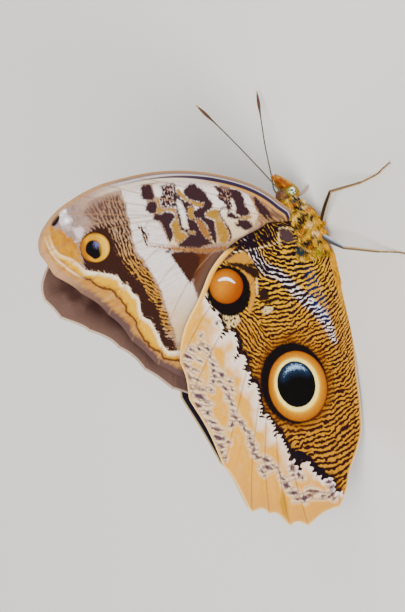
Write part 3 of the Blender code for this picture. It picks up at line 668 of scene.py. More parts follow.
# rear edge of the chocolate band
BAND_EDGE = ((-21.6, 52.4), (-20.4, 53.2), (-19.6, 53.6), (-18.3, 54), (-17.4, 53.9), (-17, 54.4),
             (-15, 55), (-13.9, 55.4), (-13.2, 56.6), (-12.6, 57.2), (-11.4, 57.4), (-9.5, 57.1),
             (-8.3, 57.2), (-7.3, 58.3), (-6.6, 58.8), (-5.6, 58.9), (-5, 59.6), (-4.9, 60.8), (-3.9, 60.9),
             (-2.8, 61.5), (-2.2, 62.8), (-1.6, 64.5), (-1, 66.3), (-0.5, 68), (0.1, 69.8))
FORE_STROKES = (
    # pale middle band
    ("grey", ((-26, 40), (-22, 46), (-20, 49.4), (-16, 49.8), (-12, 50.2), (-8, 50.5), (-5, 51.4),
        (-3, 52.4), (0, 53.6), (2, 55), (5, 55.1), (9, 54.8), (13, 55), (17.5, 55.4), (19, 50),
        (16.4, 49.4), (12, 49), (9.5, 48), (6, 46.5), (2.4, 45.4), (-2, 44.4), (-7.5, 41.4), (-11, 40.4),
        (-14, 40))),
    # ground of the cell, from its end to the root
    ("white", ((1.6, 45.6), (7, 45), (9, 46.2), (15.6, 46.4), (16.4, 40), (15.2, 35), (14.2, 30), (12, 25),
        (9, 20), (4, 18.4), (1.4, 21), (0, 24), (-0.4, 34), (0.4, 42))),
    ("dark", ((-0.4, 33.2), (-0.5, 38), (0, 41), (0.6, 42.9), (1.4, 43), (1.9, 41.2), (2.6, 39.6),
        (3.4, 39.9), (4.2, 41.3), (6.6, 41.5), (9.7, 41.2), (9.8, 44.6), (10, 45.2), (12.4, 45.2),
        (12.9, 44.2), (15, 44.1), (15.3, 42), (14.9, 39.7), (13.2, 40.3), (12.2, 39.8), (11.2, 39),
        (10.4, 38.2), (10.4, 36.9), (9.4, 36.4), (6.2, 35.4), (3, 33.2))),
    ("marbled", ((10.4, 44.9), (12.5, 44.9), (12.9, 43.8), (14.6, 43), (14.9, 40.6), (13, 41), (12, 41.6),
        (10.8, 41.6), (10.2, 43))),
    ("ochre", ((1.9, 43.5), (3.4, 43.5), (4.6, 43.3), (5.7, 43.7), (6.4, 43), (7, 42.1), (8.2, 41.9),
        (8.9, 42.4), (9.2, 43.6), (9.3, 45), (8.8, 46.4), (9.6, 46.7), (10.4, 45.9), (12.6, 46.2),
        (12.4, 45.4), (10, 45.5), (9.7, 44.2), (9.6, 42.4), (9.2, 41.5), (7.4, 41.5), (4, 41.4),
        (3.2, 40.2), (2.6, 39.9), (1.9, 41.3), (1.6, 42.6))),
    ("dark", ((9, 47.5), (9.3, 48.7), (9.9, 49.4), (10.5, 49.8), (11.1, 49.6), (11.7, 48.9), (12, 48.1),
        (12, 46.9), (11.6, 46.3), (10.6, 46.1), (9.7, 46.7))),
    ("dark", ((12.2, 47), (12.4, 48.8), (13, 50), (13.9, 50.1), (14.6, 49.7), (15.4, 49.9), (15.9, 49),
        (16, 47.6), (15.4, 46.6), (14, 46.6), (13, 46.3))),
    ("marbled", ((16, 47.3), (16.1, 49.2), (16.4, 50.5), (17.6, 50.6), (17.5, 49), (17, 47.8))),
    ("dark", ((2.1, 45.1), (3, 45.5), (4.4, 45.7), (5.6, 46), (6.8, 46.1), (7.4, 47), (7.7, 48.4),
        (8.4, 48.2), (9.2, 47.5), (9, 46.4), (8.9, 45.6), (9.2, 44.6), (8.8, 43.3), (8.4, 42.2), (7.5, 42),
        (6.8, 42.7), (6.2, 43.6), (5.6, 44), (4.4, 43.5), (3.4, 43.7), (2.6, 44.2))),
    ("white", ((4.3, 39), (4.3, 40.1), (5.2, 40.7), (7, 40.5), (9, 40.6), (10.6, 40.8), (11.3, 40.2),
        (10.6, 39.4), (8.8, 38.9), (6.6, 38.9))),
    ("white", ((12.5, 40.1), (13.6, 39.6), (14.8, 39.9), (15.2, 38.6), (14.2, 37.6), (13.4, 37.8),
        (13.2, 39))),
    ("ochre", ((3.1, 37.6, 0.25), (3.3, 38.7, 0.28), (3.7, 39.2, 0.1))),
    ("ochre", ((5.9, 36.5), (6.2, 37.8), (7, 38.3), (8.4, 38.2), (9, 37.7), (8.9, 36.6), (8.3, 36.3),
        (7.3, 36.9))),
    ("ochre", ((8.6, 33.4), (8.6, 34.9), (9.2, 36), (10, 37.2), (11.4, 38.9), (12.2, 39.8), (13.2, 40.1),
        (13.5, 39.3), (12.2, 38.5), (11.2, 37.8), (10.4, 36.6), (9.7, 34.8), (9.2, 33.1))),
    ("tan", ((0.4, 33.6), (1.4, 34.8), (2.6, 35.6), (4.2, 36), (5.6, 36.6), (6.1, 35.8), (5.2, 34.8),
        (4, 34.2), (2.4, 33.6))),
    ("dark", ((6, 35.3), (6.2, 36.2), (7, 36.8), (7.6, 36.5), (8.1, 35.8), (8.5, 34.6), (8.6, 33.6),
        (9.2, 33.1), (9.6, 34.4), (10, 35.6), (10.6, 36.8), (11.4, 37.8), (12.4, 38.4), (13.2, 37.6),
        (13.9, 36.6), (14.2, 35.4), (14, 34.3), (13, 33.7), (12.4, 32.8), (11.4, 31.9), (10.4, 31.7),
        (9.4, 30.9), (8.2, 30.6), (7.6, 31.2), (7.3, 32.2), (7.1, 33), (6.6, 33.6), (5.9, 33.4),
        (5.4, 32.4), (4.6, 31.3), (3, 31.5), (1.2, 31.7), (-0.3, 32), (-0.3, 32.8), (1.6, 33.3),
        (3.2, 33.5), (4.2, 33.7), (5, 34.6))),
    ("ochre", ((-0.5, 31.5), (1, 31.5), (3, 31.2), (5, 31), (5.6, 32.2), (6.2, 33.5), (6.9, 33),
        (7.2, 31.8), (7.3, 30.4), (7, 29.5), (5.6, 29.6), (4.6, 29.2), (3, 28.6), (1.4, 28), (0.2, 28.4),
        (-0.6, 29.6))),
    ("dark", ((-0.3, 28.3, 0.2), (0.6, 27.7, 0.36), (1.8, 27.7, 0.36), (3.4, 28.3, 0.3), (5, 29, 0.24),
        (6.6, 29.3, 0.24), (7.2, 28.2, 0.22), (7.3, 27, 0.22))),
    ("dark", ((1.1, 21.8), (1.2, 23.4), (2, 24.3), (2.4, 25.6), (3.3, 25.7), (3.2, 24.8), (3.9, 24.6),
        (4.3, 26), (5.1, 27.7), (6, 27), (5.8, 25.8), (4.9, 24.9), (4.6, 24.2), (3.7, 23.8), (3.5, 22),
        (2.4, 20.8), (1.5, 20.8))),
    ("marbled", ((6.2, 25.8), (6.6, 27), (8, 27.2), (9.4, 28.6), (10.2, 29.2), (10.6, 28.2), (12.4, 29.2),
        (12.4, 27.2), (11.8, 25.2), (11, 24.4), (9, 24.2), (8.6, 25.4), (7.4, 25.2))),
    ("dark", ((6.3, 26.6, 0.3), (8.2, 26.9, 0.45), (9.8, 28.4, 0.35))),
    ("dark", ((9.6, 26.6, 0.35), (11, 27.4, 0.5), (12.2, 28.8, 0.3))),
    ("dark", ((4.2, 22), (4.4, 23.4), (5, 24.2), (5.3, 25.2), (6.4, 24.4), (8.6, 24.6), (9.6, 24.8),
        (10.9, 25.2), (11, 23.4), (10.1, 22.2), (9.4, 21.8), (8.4, 21.4), (7.2, 21.5), (6.2, 21.4),
        (5.6, 20.6), (5, 20.6), (4.3, 21.2))),
    ("ochre", ((3.9, 20.8, 0.3), (3.9, 22.6, 0.28), (4.3, 24, 0.2))),
    ("dark", ((2.4, 16, 0.3), (4.2, 17, 0.75), (6, 17.9, 0.8), (7.8, 18.6, 0.3))),
    ("brown", ((2, 11.6, 0.3), (3, 13, 0.5), (4.4, 14.2, 0.3))),
    ("dark", ((8.2, 18.4, 0.3), (6.2, 17.3, 0.6), (4.4, 16.1, 0.75), (2.7, 15, 0.35))),
    # behind the cell
    ("brown", ((-11.6, 40.9), (-8, 41.3), (-6.4, 40.6), (-4, 40.4), (-1, 41), (-0.9, 36), (-1.2, 31),
        (-3.4, 30.4), (-7.6, 36.2))),
    ("dark", ((-0.2, 45.6), (-1.2, 45.5), (-3.4, 44.3), (-5.6, 43.2), (-8, 42.2), (-7, 40.9), (-4.6, 38.6),
        (-2.6, 37.6), (-1.2, 39), (-0.4, 41.6))),
    ("tan", ((-1.7, 30, 0.35), (-1.5, 34.6, 0.5), (-0.8, 38.4, 0.45), (0.4, 43.6, 0.35), (1.6, 48.2, 0.2),
        (2.6, 51.8, 0.12))),
    ("dark", ((3.2, 51.6, 0.12), (4.2, 51.4, 0.3), (4.9, 50.7, 0.4))),
    ("dark", ((4.6, 51.6, 0.1), (5.8, 51.8, 0.2), (6.9, 52.3, 0.1))),
    ("dark", ((0.2, 46.8, 0.25), (0.35, 45.4, 0.4))),
    # chocolate band round to the eyespot, with ragged ends
    ("dark", ((-21.8, 50), *BAND_EDGE, (1.4, 69.9), (3.2, 70), (5.8, 69.8), (7.2, 68.5), (8.1, 66.6),
        (8.6, 65), (8.9, 63), (8.4, 61.2), (7, 60.4), (5, 60.1), (3, 60), (1.4, 59.3), (0, 58.6), (-2, 58),
        (-3.5, 56.4), (-5, 55.2), (-7, 54.6), (-9, 53.8), (-11, 52.6), (-13, 52.2), (-16, 52.3),
        (-18.5, 51.4), (-19.8, 50.2))),
)

FORE_PUPIL = ((4.1, 66.25), (2.05, 2.2))
FORE_RING = ((4.5, 65.65), (3.35, 4.1))

# outer edge of the chocolate band, closed far outside the wing
BAND_SHORE = ((-22, 49), *BAND_EDGE, (1, 70.6), (2.2, 71.4), (3.2, 72.6), (4, 74.2), (4.8, 75.6),
              (6.4, 76.6), (8.6, 77), (11, 76.6), (13, 75), (20, 80), (20, 95), (-40, 95), (-40, 49))
# the scalloped line through the outer bands, closed the same way
WAVY_LINE = ((-24.2, 49), (-23.9, 51), (-23.3, 53), (-22.8, 54.2), (-21.6, 54.5), (-21.1, 54.9),
             (-20.3, 56.4), (-19.2, 57.6), (-18.7, 57.3), (-18, 58.3), (-16.4, 58.8), (-14.6, 59.6),
             (-13.6, 59.3), (-12.4, 60), (-10.8, 61.5), (-9.7, 61.1), (-9, 61.7), (-7.8, 62.1), (-7, 63.1),
             (-6.1, 63.3), (-5.3, 64.2), (-4.9, 65.4), (-4.5, 66.6), (-3.6, 67.9), (-2.2, 69.1),
             (-1.8, 70.2), (-1.2, 71.5), (-0.3, 72.7), (0.9, 74.1), (2.4, 75.5), (3.8, 76.9), (5.6, 77.8),
             (8, 78.4), (12, 78.6), (20, 84), (20, 95), (-40, 95), (-40, 49))


def fore_marks(x, z):
    """What is kept at each point for the forewing's two faces."""
    marks = shared_marks(x, z, FORE_STROKES, FORE_COLOURS, FORE_LIE, FORE_RIPPLED, FORE_PUPIL, FORE_RING,
                         (4.15, 66.1), 1.9)
    marks["outer"] = np.clip(in_outline(x, z, BAND_SHORE), -FAR, FAR)
    marks["wavy"] = np.clip(in_outline(x, z, WAVY_LINE), -FAR, FAR)
    marks["eye_dust"] = in_oval(x, z, (5.3, 65.1), (0.9, 0.7), -30)
    marks["tip_spot"] = in_oval(x, z, (12.15, 74.7), (0.75, 1.65), 38)
    marks["tip_white"] = np.maximum(in_oval(x, z, (11.6, 71.7), (0.6, 0.7)),
                                    in_oval(x, z, (13.6, 72.2), (0.5, 1.1), 20))
    marks["cloud"] = np.maximum(in_oval(x, z, (8.4, 69.3), (1.3, 1.1)), in_oval(x, z, (12, 72.2), (2.2, 1.5)))
    # how far along the costa and towards the tip or the root a place is
    marks["tipwards"] = smooth_step((z - 63) / 8)
    marks["tip_tan"] = in_stroke(x, z, ((2.6, 70.8, 1.0), (5.0, 73.0, 2.2), (8.0, 75, 1.9), (10, 75.9, 1.0)))
    marks["rootwards"] = smooth_step((20.5 - z + 0.2 * x) / 4)
    return marks


# Finishes of the wings

def ripples(spot, cells=2.6):
    """Wavy lines that branch and end, -1 to 1 across each line and the next gap."""
    tree = spot.tree
    bend = add(tree, "TexNoise", {"Scale": 0.9, "Detail": 2.5, "Roughness": 0.6, "Vector": spot}, "Color")
    centred = add(tree, "VectorMath", {"operation": "SUBTRACT", 0: bend, 1: (0.5, 0.5, 0.5)})
    bent = add(tree, "VectorMath", {"operation": "MULTIPLY_ADD", 0: centred, 1: (1.3, 1.3, 0), 2: spot})
    lines = add(tree, "TexGabor", {"gabor_type": "2D", "Scale": 1 / cells, "Anisotropy": 1.0, "Vector": bent,
                                   "Frequency": field(tree, "fineness") * cells}, "Phase")
    plugs = [plug for plug in lines.socket.node.inputs if plug.name == "Orientation"]
    tree.links.new(field(tree, "lie").socket, plugs[0])
    return (lines * (2 * pi)).math("SINE")


def scaled(shader, spot, colour, strength=0.10):
    """Overlapping wing scales: a fine speckle in the colour and a fine grain in the surface."""
    # real scales are 0.1 mm wide; these are drawn at 0.2 mm, or they wouldn't show
    cells = {"Scale": 5.0, "Randomness": 0.9, "Vector": spot}
    tint = span(add(spot.tree, "TexVoronoi", cells, "Color"), 0, 1, 1 + strength, 1 - strength)
    speckled = add(spot.tree, "VectorMath", {"operation": "SCALE", 0: colour, "Scale": tint})
    paint(shader, speckled, add(spot.tree, "TexVoronoi", cells, "Distance"), 0.25, 0.03)


def colour_bands(value, limits, stops):
    """Colours that follow a number, from stops given as values of it."""
    ramp = add(value.tree, "ValToRGB", {"Fac": span(value, *limits)})
    elements = ramp.socket.node.color_ramp.elements
    while len(elements) > 1:
        elements.remove(elements[-1])
    for index, (at, code) in enumerate(stops):
        share = (at - limits[0]) / (limits[1] - limits[0])
        element = elements[0] if index == 0 else elements.new(share)
        element.position = share
        element.color = linear(code)
    return ramp


def hindwing_underside():
    """Velvety wing scales: ripples, two great eyespots and a cream rear part."""
    material, tree, shader = surface("hindwing_scales_underside", 0.8, specular=0.08)
    spot = place_field(tree, "spot")
    ray = place_field(tree, "ray")
    x, z = axis_of(spot, "X"), axis_of(spot, "Y")
    bearing = axis_of(ray, "X")
    edge = field(tree, "edge")
    wave = ripples(spot)
    ragged = mottle(spot, 1.3, reach=0.22, detail=3)
    patchy = mottle(spot, 0.35, detail=2)
    shore_depth = field(tree, "rippled")

    # cream zone: lilac-white beside the ragged border and round the flecks, golden between
    streaks = mottle(ray, 1, stretch=(1.1, 0.1, 1), detail=3)
    cream = lay("#D89420", "#D4A040", span(streaks, -0.6, 0.8))
    cream = lay(cream, "#D2A66C", span(patchy, 0, 1.4))
    to_rear = span(x, -44, -60)
    cream = lay(cream, "#D4922C", to_rear * 0.9)
    cream = lay(cream, "#C98C38", to_rear * span(edge, 5, 1.5))
    fleck_depth = field(tree, "fleck")
    near_flecks = fleck_depth + patchy * 0.3
    cream = lay(cream, "#DDC3A4", span(near_flecks, -1.3, -0.2, 0.85))
    along_shore = shore_depth + patchy * 0.7
    beside = span(along_shore, -3.2, -0.9) * span(x, -60, -46)
    cream = lay(cream, "#E8D2C0", beside)
    cream = lay(cream, "#E8D6D0", span(along_shore, -1.3, -0.4) * to_rear)
    # fine brown hairs along the veins, and painted shade in the folds between them
    hairs_and_fold_shade = mottle(ray, 1, stretch=(3.4, 0.06, 1), detail=2)
    cream = lay(cream, "#A87C48", span(hairs_and_fold_shade, 0.75, 1.5, 0.55))
    fleck = lay("#4E3640", "#6E4C34", span(mottle(spot, 0.2), 0.3, 1))
    strokes = cover(wave, 0.5, ragged, low=0.25) * span(near_flecks, -0.9, -0.3, 0.6)
    cream = lay(cream, fleck, strokes * span(x, -16, -20))
    cream = lay(cream, fleck, cover(fleck_depth, 0.3, ragged, low=0.02))

    # rippled zone: gold lines on dark, bolder and bluer near the body, orange-brown behind
    bold = field(tree, "bold")
    low_edge = span(z, 5.5, 1.5)
    white = cover(field(tree, "white"), 0.7, ragged, low=0.2)
    gold = lay("#B27814", "#C89408", bold)
    gold = lay(gold, "#8C5204", span(patchy, 0.1, 1.2, 0.7))
    gold = lay(gold, "#CC9438", low_edge)
    gold = lay(gold, "#E8E0E0", white)
    dark = lay("#270A08", "#14040E", bold)
    dark = lay(dark, "#3A1A0E", low_edge * 0.7)
    dark = lay(dark, "#0C0610", span(field(tree, "darker"), 0.5, 1))
    dark = lay(dark, "#0A1640", cover(field(tree, "navy"), 0.8, ragged))
    threshold = mottle(spot, 0.7, reach=0.4) + field(tree, "darker") + white * 0.4
    threshold = threshold + span(x, -12, -4, 0.4) + bold * 0.12
    rippled = lay(gold, dark, cover(wave, 0.4, threshold, low=-0.08))
    pale_vein = cover(field(tree, "pale_vein"), 0.1) * span(wave, 0.6, -0.2, 0.9)
    rippled = lay(rippled, "#D8C0A0", pale_vein)

    # teeth of a dark border between the two
    teeth = shore_depth + wave * 0.4
    teeth = teeth + mottle(spot, 0.9, reach=0.35, detail=1.5)
    colour = lay(cream, rippled, cover(teeth, 0.12))

    for name, code, soft in (("tan", "#B07824", 0.3), ("slate", "#3C2A2C", 0.6), ("brown", "#22100A", 0.3),
                             ("pale", "#D2B27C", 0.3)):
        colour = lay(colour, code, cover(field(tree, name), soft, ragged))
    specks = cover(mottle(spot, 1.6, detail=2), 0.3, low=0.2)
    colour = lay(colour, "#2E1A12", specks * cover(field(tree, "pale"), 0.2, low=0.3))
    rim_width = teeth + patchy * 0.4
    inshore = cover(teeth, 0.12) * span(rim_width, 1.35, 0.7)
    colour = lay(colour, "#12050A", inshore * span(z, 12.5, 15.5))
    mustard = cover(field(tree, "gold"), 0.6, ragged)
    colour = lay(colour, "#B07C0A", mustard)

    # great eyespot
    halo_depth = field(tree, "halo")
    orbit = span(halo_depth + patchy * 0.4, -2.6, 0.2, 0.75)
    colour = lay(colour, "#5A2802", orbit * cover(shore_depth, 0.4, low=1))
    colour = lay(colour, "#0A0304", cover(halo_depth, 0.35, ragged))
    ring = field(tree, "ring")
    stops = ((-0.03, "#020101"), (0.02, "#EBD080"), (0.1, "#F4E080"), (0.26, "#F2D460"), (0.38, "#CC9000"),
             (0.52, "#B27200"), (0.9, "#944E00"), (0.975, "#5C2C00"), (1, "#0A0304"))
    bands = colour_bands(ring, (-0.2, 1.2), stops)
    deeper = span(z - x * 0.35, 38, 44)
    deeper = deeper * span(ring, 0.25, 0.6) * 0.5
    bands = lay(bands, "#8A5000", deeper * span(ring, 0.98, 0.94))
    colour = lay(colour, bands, span(ring, 1.04, 1))
    dust = mottle(spot, 3, detail=3, reach=0.6)
    on_pupil = span(ring, -0.1, -0.16)
    crescent = field(tree, "crescent")
    colour = lay(colour, "#14243C", cover(crescent, 1.2, dust, low=-0.5) * on_pupil)
    colour = lay(colour, "#93B4DA", cover(crescent, 0.35, dust, low=0.62) * on_pupil)

    # orange eyespot
    rim_depth = field(tree, "rim")
    colour = lay(colour, "#0A0303", cover(rim_depth, 0.25, ragged))
    orange = field(tree, "orange")
    low_rear = span(z + x * 0.9, 25.5, 19.5)
    glow = lay("#9C5600", "#BC7400", span(orange, 0.5, 3))
    glow = lay(glow, "#8A3C00", low_rear)
    glow = lay(glow, "#702A00", span(orange, 0.8, 0, 0.65))
    colour = lay(colour, glow, cover(orange, 0.14))
    colour = lay(colour, "#EDF2FA", cover(field(tree, "glint"), 0.12))

    # veins, hidden by the eyespots, the golden front margin and the fringe
    clear = span(halo_depth, 0.6, -0.6) * span(rim_depth, 0.4, -0.4)
    vein = span(field(tree, "vein"), 0.26, 0.08, 0.6) * clear
    colour = lay(colour, "#7C5630", vein * span(shore_depth, 0.4, -0.6))
    colour = lay(colour, "#3A2010", vein * 0.8 * span(shore_depth, -0.2, 0.8))
    front = span(bearing, 93, 96) * span(bearing, 124, 114)
    colour = lay(colour, "#DE9E34", span(edge, 1.25, 0.9) * front)
    colour = lay(colour, "#EBC070", span(edge, 0.6, 0.3) * front)
    behind = span(bearing, 116, 122)
    colour = lay(colour, "#CC9850", span(edge, 0.75, 0.35, 0.9) * behind)
    colour = lay(colour, "#E0BC80", span(edge, 0.3, 0.16) * behind)
    low_margin = span(z, 2, 1.3) * span(x, -26, -14)
    colour = lay(colour, "#D89E10", low_margin)
    scaled(shader, spot, colour)
    return material


def forewing_underside():
    """Velvety wing scales: banded cell, pale middle, chocolate band, small eyespot and gold margin."""
    material, tree, shader = surface("forewing_scales_underside", 0.8, specular=0.08)
    spot = place_field(tree, "spot")
    ray = place_field(tree, "ray")
    x, z = axis_of(spot, "X"), axis_of(spot, "Y")
    edge = field(tree, "edge")
    wave = ripples(spot)
    ragged = mottle(spot, 1.3, reach=0.2, detail=3)
    frayed = mottle(spot, 1.9, reach=0.26, detail=3)
    broad = mottle(spot, 0.2)
    patchy = mottle(spot, 0.5, detail=2)
    fine = mottle(spot, 2.2, detail=3)
    streaks = mottle(ray, 1, stretch=(1, 0.12, 1), detail=3)

    # root: tan and brown streaks that follow the front edge
    along_edge = add(tree, "CombineXYZ", {"X": edge, "Y": z * 0.16})
    edge_streaks = mottle(along_edge, 1.5, detail=2)
    root = lay("#8C6234", "#B89060", span(edge_streaks, -0.5, 0.8))
    root = lay(root, "#5A3830", span(edge_streaks, 0.1, -0.9, 0.85))
    colour = lay("#A88868", "#937870", span(broad, -0.6, 0.8))
    colour = lay(colour, root, field(tree, "rootwards"))

    # pale middle band, warmer behind
    pale = lay("#D8CCC8", "#C4B2A4", span(streaks, 0, 1.2))
    pale = lay(pale, "#C09A5C", span(x, -6, -17, 0.8))
    colour = lay(colour, pale, cover(field(tree, "grey"), 0.3, ragged))
    # smudged ripples between it and the chocolate band
    smudged = wave * 0.7 + mottle(spot, 0.8, reach=0.7)
    frontwards = span(x, -2, 6)
    rippled = lay("#A87428", "#9C7E60", frontwards)
    smudged = smudged + frontwards * 0.25
    rippled = lay(rippled, "#28120C", cover(smudged, 0.5, low=0.05))
    rippled = lay(rippled, "#6A4C42", span(x + patchy, 5, 12, 0.3))
    to_tip = span(x + z, 68, 78, 0.6)
    rippled = lay(rippled, "#6A4C44", to_tip)
    colour = lay(colour,
                 rippled, cover(field(tree, "rippled") + patchy * 0.8, 0.8, frayed, low=0.3) * span(edge,
                                                                                                    1.8, 4))

    cell = lay("#D2B690", "#A88A70", span(fine, 0.4, 1.6, 0.6))
    colour = lay(colour, cell, cover(field(tree, "white"), 0.25, frayed))
    # whiter towards the front edge
    nearer = cover(field(tree, "white"), 0.2, low=0.1) * span(x, 3, 8)
    colour = lay(colour, "#E2D6D2", nearer * 0.9)
    ochre = lay("#9A7024", "#7A5424", span(fine, 0, 1.2))
    ochre = lay(ochre, "#C2A068", span(patchy, 0.2, 1.2, 0.7))
    colour = lay(colour, ochre, cover(field(tree, "ochre"), 0.3, frayed))
    colour = lay(colour, "#8A5826", cover(field(tree, "tan"), 0.35, frayed))
    chestnut = lay("#552A0E", "#5C4236", span(z + x, 34, 31))
    colour = lay(colour, chestnut, cover(field(tree, "brown"), 0.5, ragged))
    marble_specks = cover(mottle(spot, 1.5, detail=3), 0.25, low=0.25)
    marble = lay("#281018", "#A8887A", marble_specks)
    colour = lay(colour, marble, cover(field(tree, "marbled"), 0.25, frayed))
    # dark violet-brown in the cell, dark brown behind it and chocolate beyond
    dark = lay("#2E1A1E", "#34180E", span(x, 0.5, -1.5))
    dark = lay(dark, "#2C150F", span(z, 50, 51))
    dark = lay(dark, "#4A2A20", span(fine, 0.3, 1.4, 0.4))
    beyond_cell = span(z, 50.2, 51)
    blurred = smudged * beyond_cell * 0.6
    dark_depth = field(tree, "dark") + blurred
    colour = lay(colour, dark, cover(dark_depth, 0.36, frayed))

    # tip: a grey cloud, orange-tan and whitish spots
    tipwards = field(tree, "tipwards")
    cloud = lay("#8B7570", "#7A5E54", span(patchy, -0.2, 0.8))
    off_dark = span(field(tree, "dark"), 0.2, -0.4)
    colour = lay(colour, cloud, tipwards * off_dark)
    tan = lay("#B47C18", "#A06414", span(patchy, -0.4, 0.8))
    colour = lay(colour, tan, cover(field(tree, "tip_tan"), 0.9, patchy, low=-0.2) * off_dark)
    colour = lay(colour, "#C4B8B8", cover(field(tree, "cloud"), 0.8, patchy))
    colour = lay(colour, "#1A0A16", cover(field(tree, "tip_spot"), 0.3))
    colour = lay(colour, "#EDEFF2", cover(field(tree, "tip_white"), 0.35))

    # bands along the outer margin: ash, amber, a scalloped line, gold, and mauve at the edge
    outer = field(tree, "outer")
    wavy = field(tree, "wavy")
    flames = mottle(ray, 1, stretch=(0.9, 0.14, 1), detail=3)
    amber = wavy + flames * 0.5
    band = lay("#D09A10", "#A0661C", span(amber, -1.2, -0.1))
    ash = lay("#EBD8B8", "#DDB880", span(z, 69, 72))
    band = lay(band, ash, span(outer + flames * 0.3, 1.25, 0.4))
    gold = lay("#A8702C", "#B88A4C", span(flames, -0.4, 0.8))
    beyond = cover(wavy, 0.15, low=0.1)
    band = lay(band, gold, beyond)
    mauve = lay("#543E3A", "#7A5A48", span(x, -10, -2))
    mauve = lay(mauve, "#B08660", span(x, -4, 1))
    at_edge = span(edge + flames * 0.4, 2.1, 1)
    band = lay(band, mauve, beyond * at_edge)
    line = abs(wavy + ragged * 0.5)
    line_code = lay("#4A2814", "#D8B890", span(z, 70, 73))
    band = lay(band, line_code, span(line, 0.42, 0.14, 0.9))
    # the bands fade out on the tip's front half
    band = lay(band, "#B88040", span(x, 6.5, 10))
    colour = lay(colour, band, cover(outer, 0.15))

    # eyespot
    ring = field(tree, "ring")
    stops = ((-0.05, "#080408"), (0.05, "#9A5C04"), (0.25, "#C08A0C"), (0.7, "#BC840C"), (0.9, "#7C4A04"),
             (1.04, "#1C0806"))
    bands = colour_bands(ring, (-0.2, 1.2), stops)
    bands = lay(bands, "#D8A834", span(z, 65, 63) * span(ring, 0.95, 0.7))
    bands = lay(bands, "#8A4E08", span(z, 67.6, 68.8, 0.8) * span(ring, 0, 0.1))
    colour = lay(colour, bands, span(ring, 1.25, 1.05))
    dust = mottle(spot, 3.5, detail=3, reach=0.5)
    dusted = cover(field(tree, "eye_dust"), 0.5, dust) * span(ring, 0, -0.1)
    colour = lay(colour, "#5A5884", dusted)

    # front edge: a tan rim, mauve, a pale line, a dark violet line and a golden one
    stops = ((0.1, "#9A7248"), (0.4, "#8E6A4C"), (0.5, "#6C5A58"), (0.75, "#7A6A6A"), (0.92, "#BEB2AE"),
             (1.1, "#A89C9E"))
    rim = colour_bands(edge, (0, 3), stops)
    golden = lay("#B88434", "#C8B8A4", span(z, 26, 36))
    rim = lay(rim, golden, span(edge, 1.5, 1.8))
    line_half = span(z, 48, 30)
    off_line = abs(edge - 1.45)
    line = span(off_line - line_half * 0.34, 0.16, 0.02)
    line_code = lay("#5C4C4C", "#2A2036", line_half)
    rim = lay(rim, line_code, line * span(z, 56, 48))
    smoky = span(edge + fine * 0.5, 4, 2.4) * span(z, 56, 50)
    smoky = smoky * span(x, 3, 8, 0.6)
    colour = lay(colour, "#8C6C5C", smoky * off_dark)
    front = span(z, 66, 54) * span(edge, 2.5, 2.2)
    in_front = span(x - z * 0.18, -1.6, 0.2)
    colour = lay(colour, rim, front * in_front)
    tan_rim = span(edge, 1.3, 0.5) * (span(z, 54, 64) * span(x, 2, 8))
    colour = lay(colour, "#A07A54", tan_rim)

    vein = span(field(tree, "vein"), 0.26, 0.08, 0.5) * span(ring, 1, 1.6)
    vein = vein * span(field(tree, "dark"), 0.5, -0.1)
    colour = lay(colour, "#8E6A48", vein)
    scaled(shader, spot, colour)
    return material


def upperside(name, base, tip, fringe):
    """The wings' inner faces: dark scales with a faint blue gloss and a pale fringe."""
    material, tree, shader = surface(name, 0.7, specular=0.1)
    spot = place_field(tree, "spot")
    edge = field(tree, "edge")
    colour = lay(base, tip, cover(mottle(spot, 0.12), 0.8))
    colour = lay(colour, tip, span(edge, 5, 0.8))
    colour = lay(colour, fringe, span(edge, 0.55, 0.3))
    scaled(shader, spot, colour)
    return material


# Shape of the body

SEGMENT = 0.4                  # mm between a slim form's rings


def ball(centre, half, side=1):
    """A ball stretched to those half sizes, in mm."""
    bpy.ops.mesh.primitive_uv_sphere_add(segments=40, ring_count=24, radius=1.0, scale=half,
                                         location=(centre[0], side * centre[1], centre[2]))
    bpy.ops.object.transform_apply(location=True, rotation=True, scale=True)
    return bpy.context.object


def joined(name, pieces):
    """Several pieces as one object."""
    select_none()
    for piece in pieces:
        piece.select_set(True)
    bpy.context.view_layer.objects.active = pieces[0]
    if len(pieces) > 1:
        bpy.ops.object.join()
    pieces[0].name = name
    pieces[0].data.name = name
    return pieces[0]


def unit(rows):
    return rows / np.maximum(np.linalg.norm(rows, axis=1, keepdims=True), 1e-9)


def lengths_along(rows):
    """How far along a line of places each of them is."""
    steps = np.linalg.norm(np.diff(rows[:, :3], axis=0), axis=1)
    return np.concatenate(((0,), np.cumsum(steps)))


def nearest_row(spots, line):
    """Which of a line's places is nearest to each spot."""
    return np.argmin(np.linalg.norm(spots[:, None] - line[None], axis=2), axis=1)


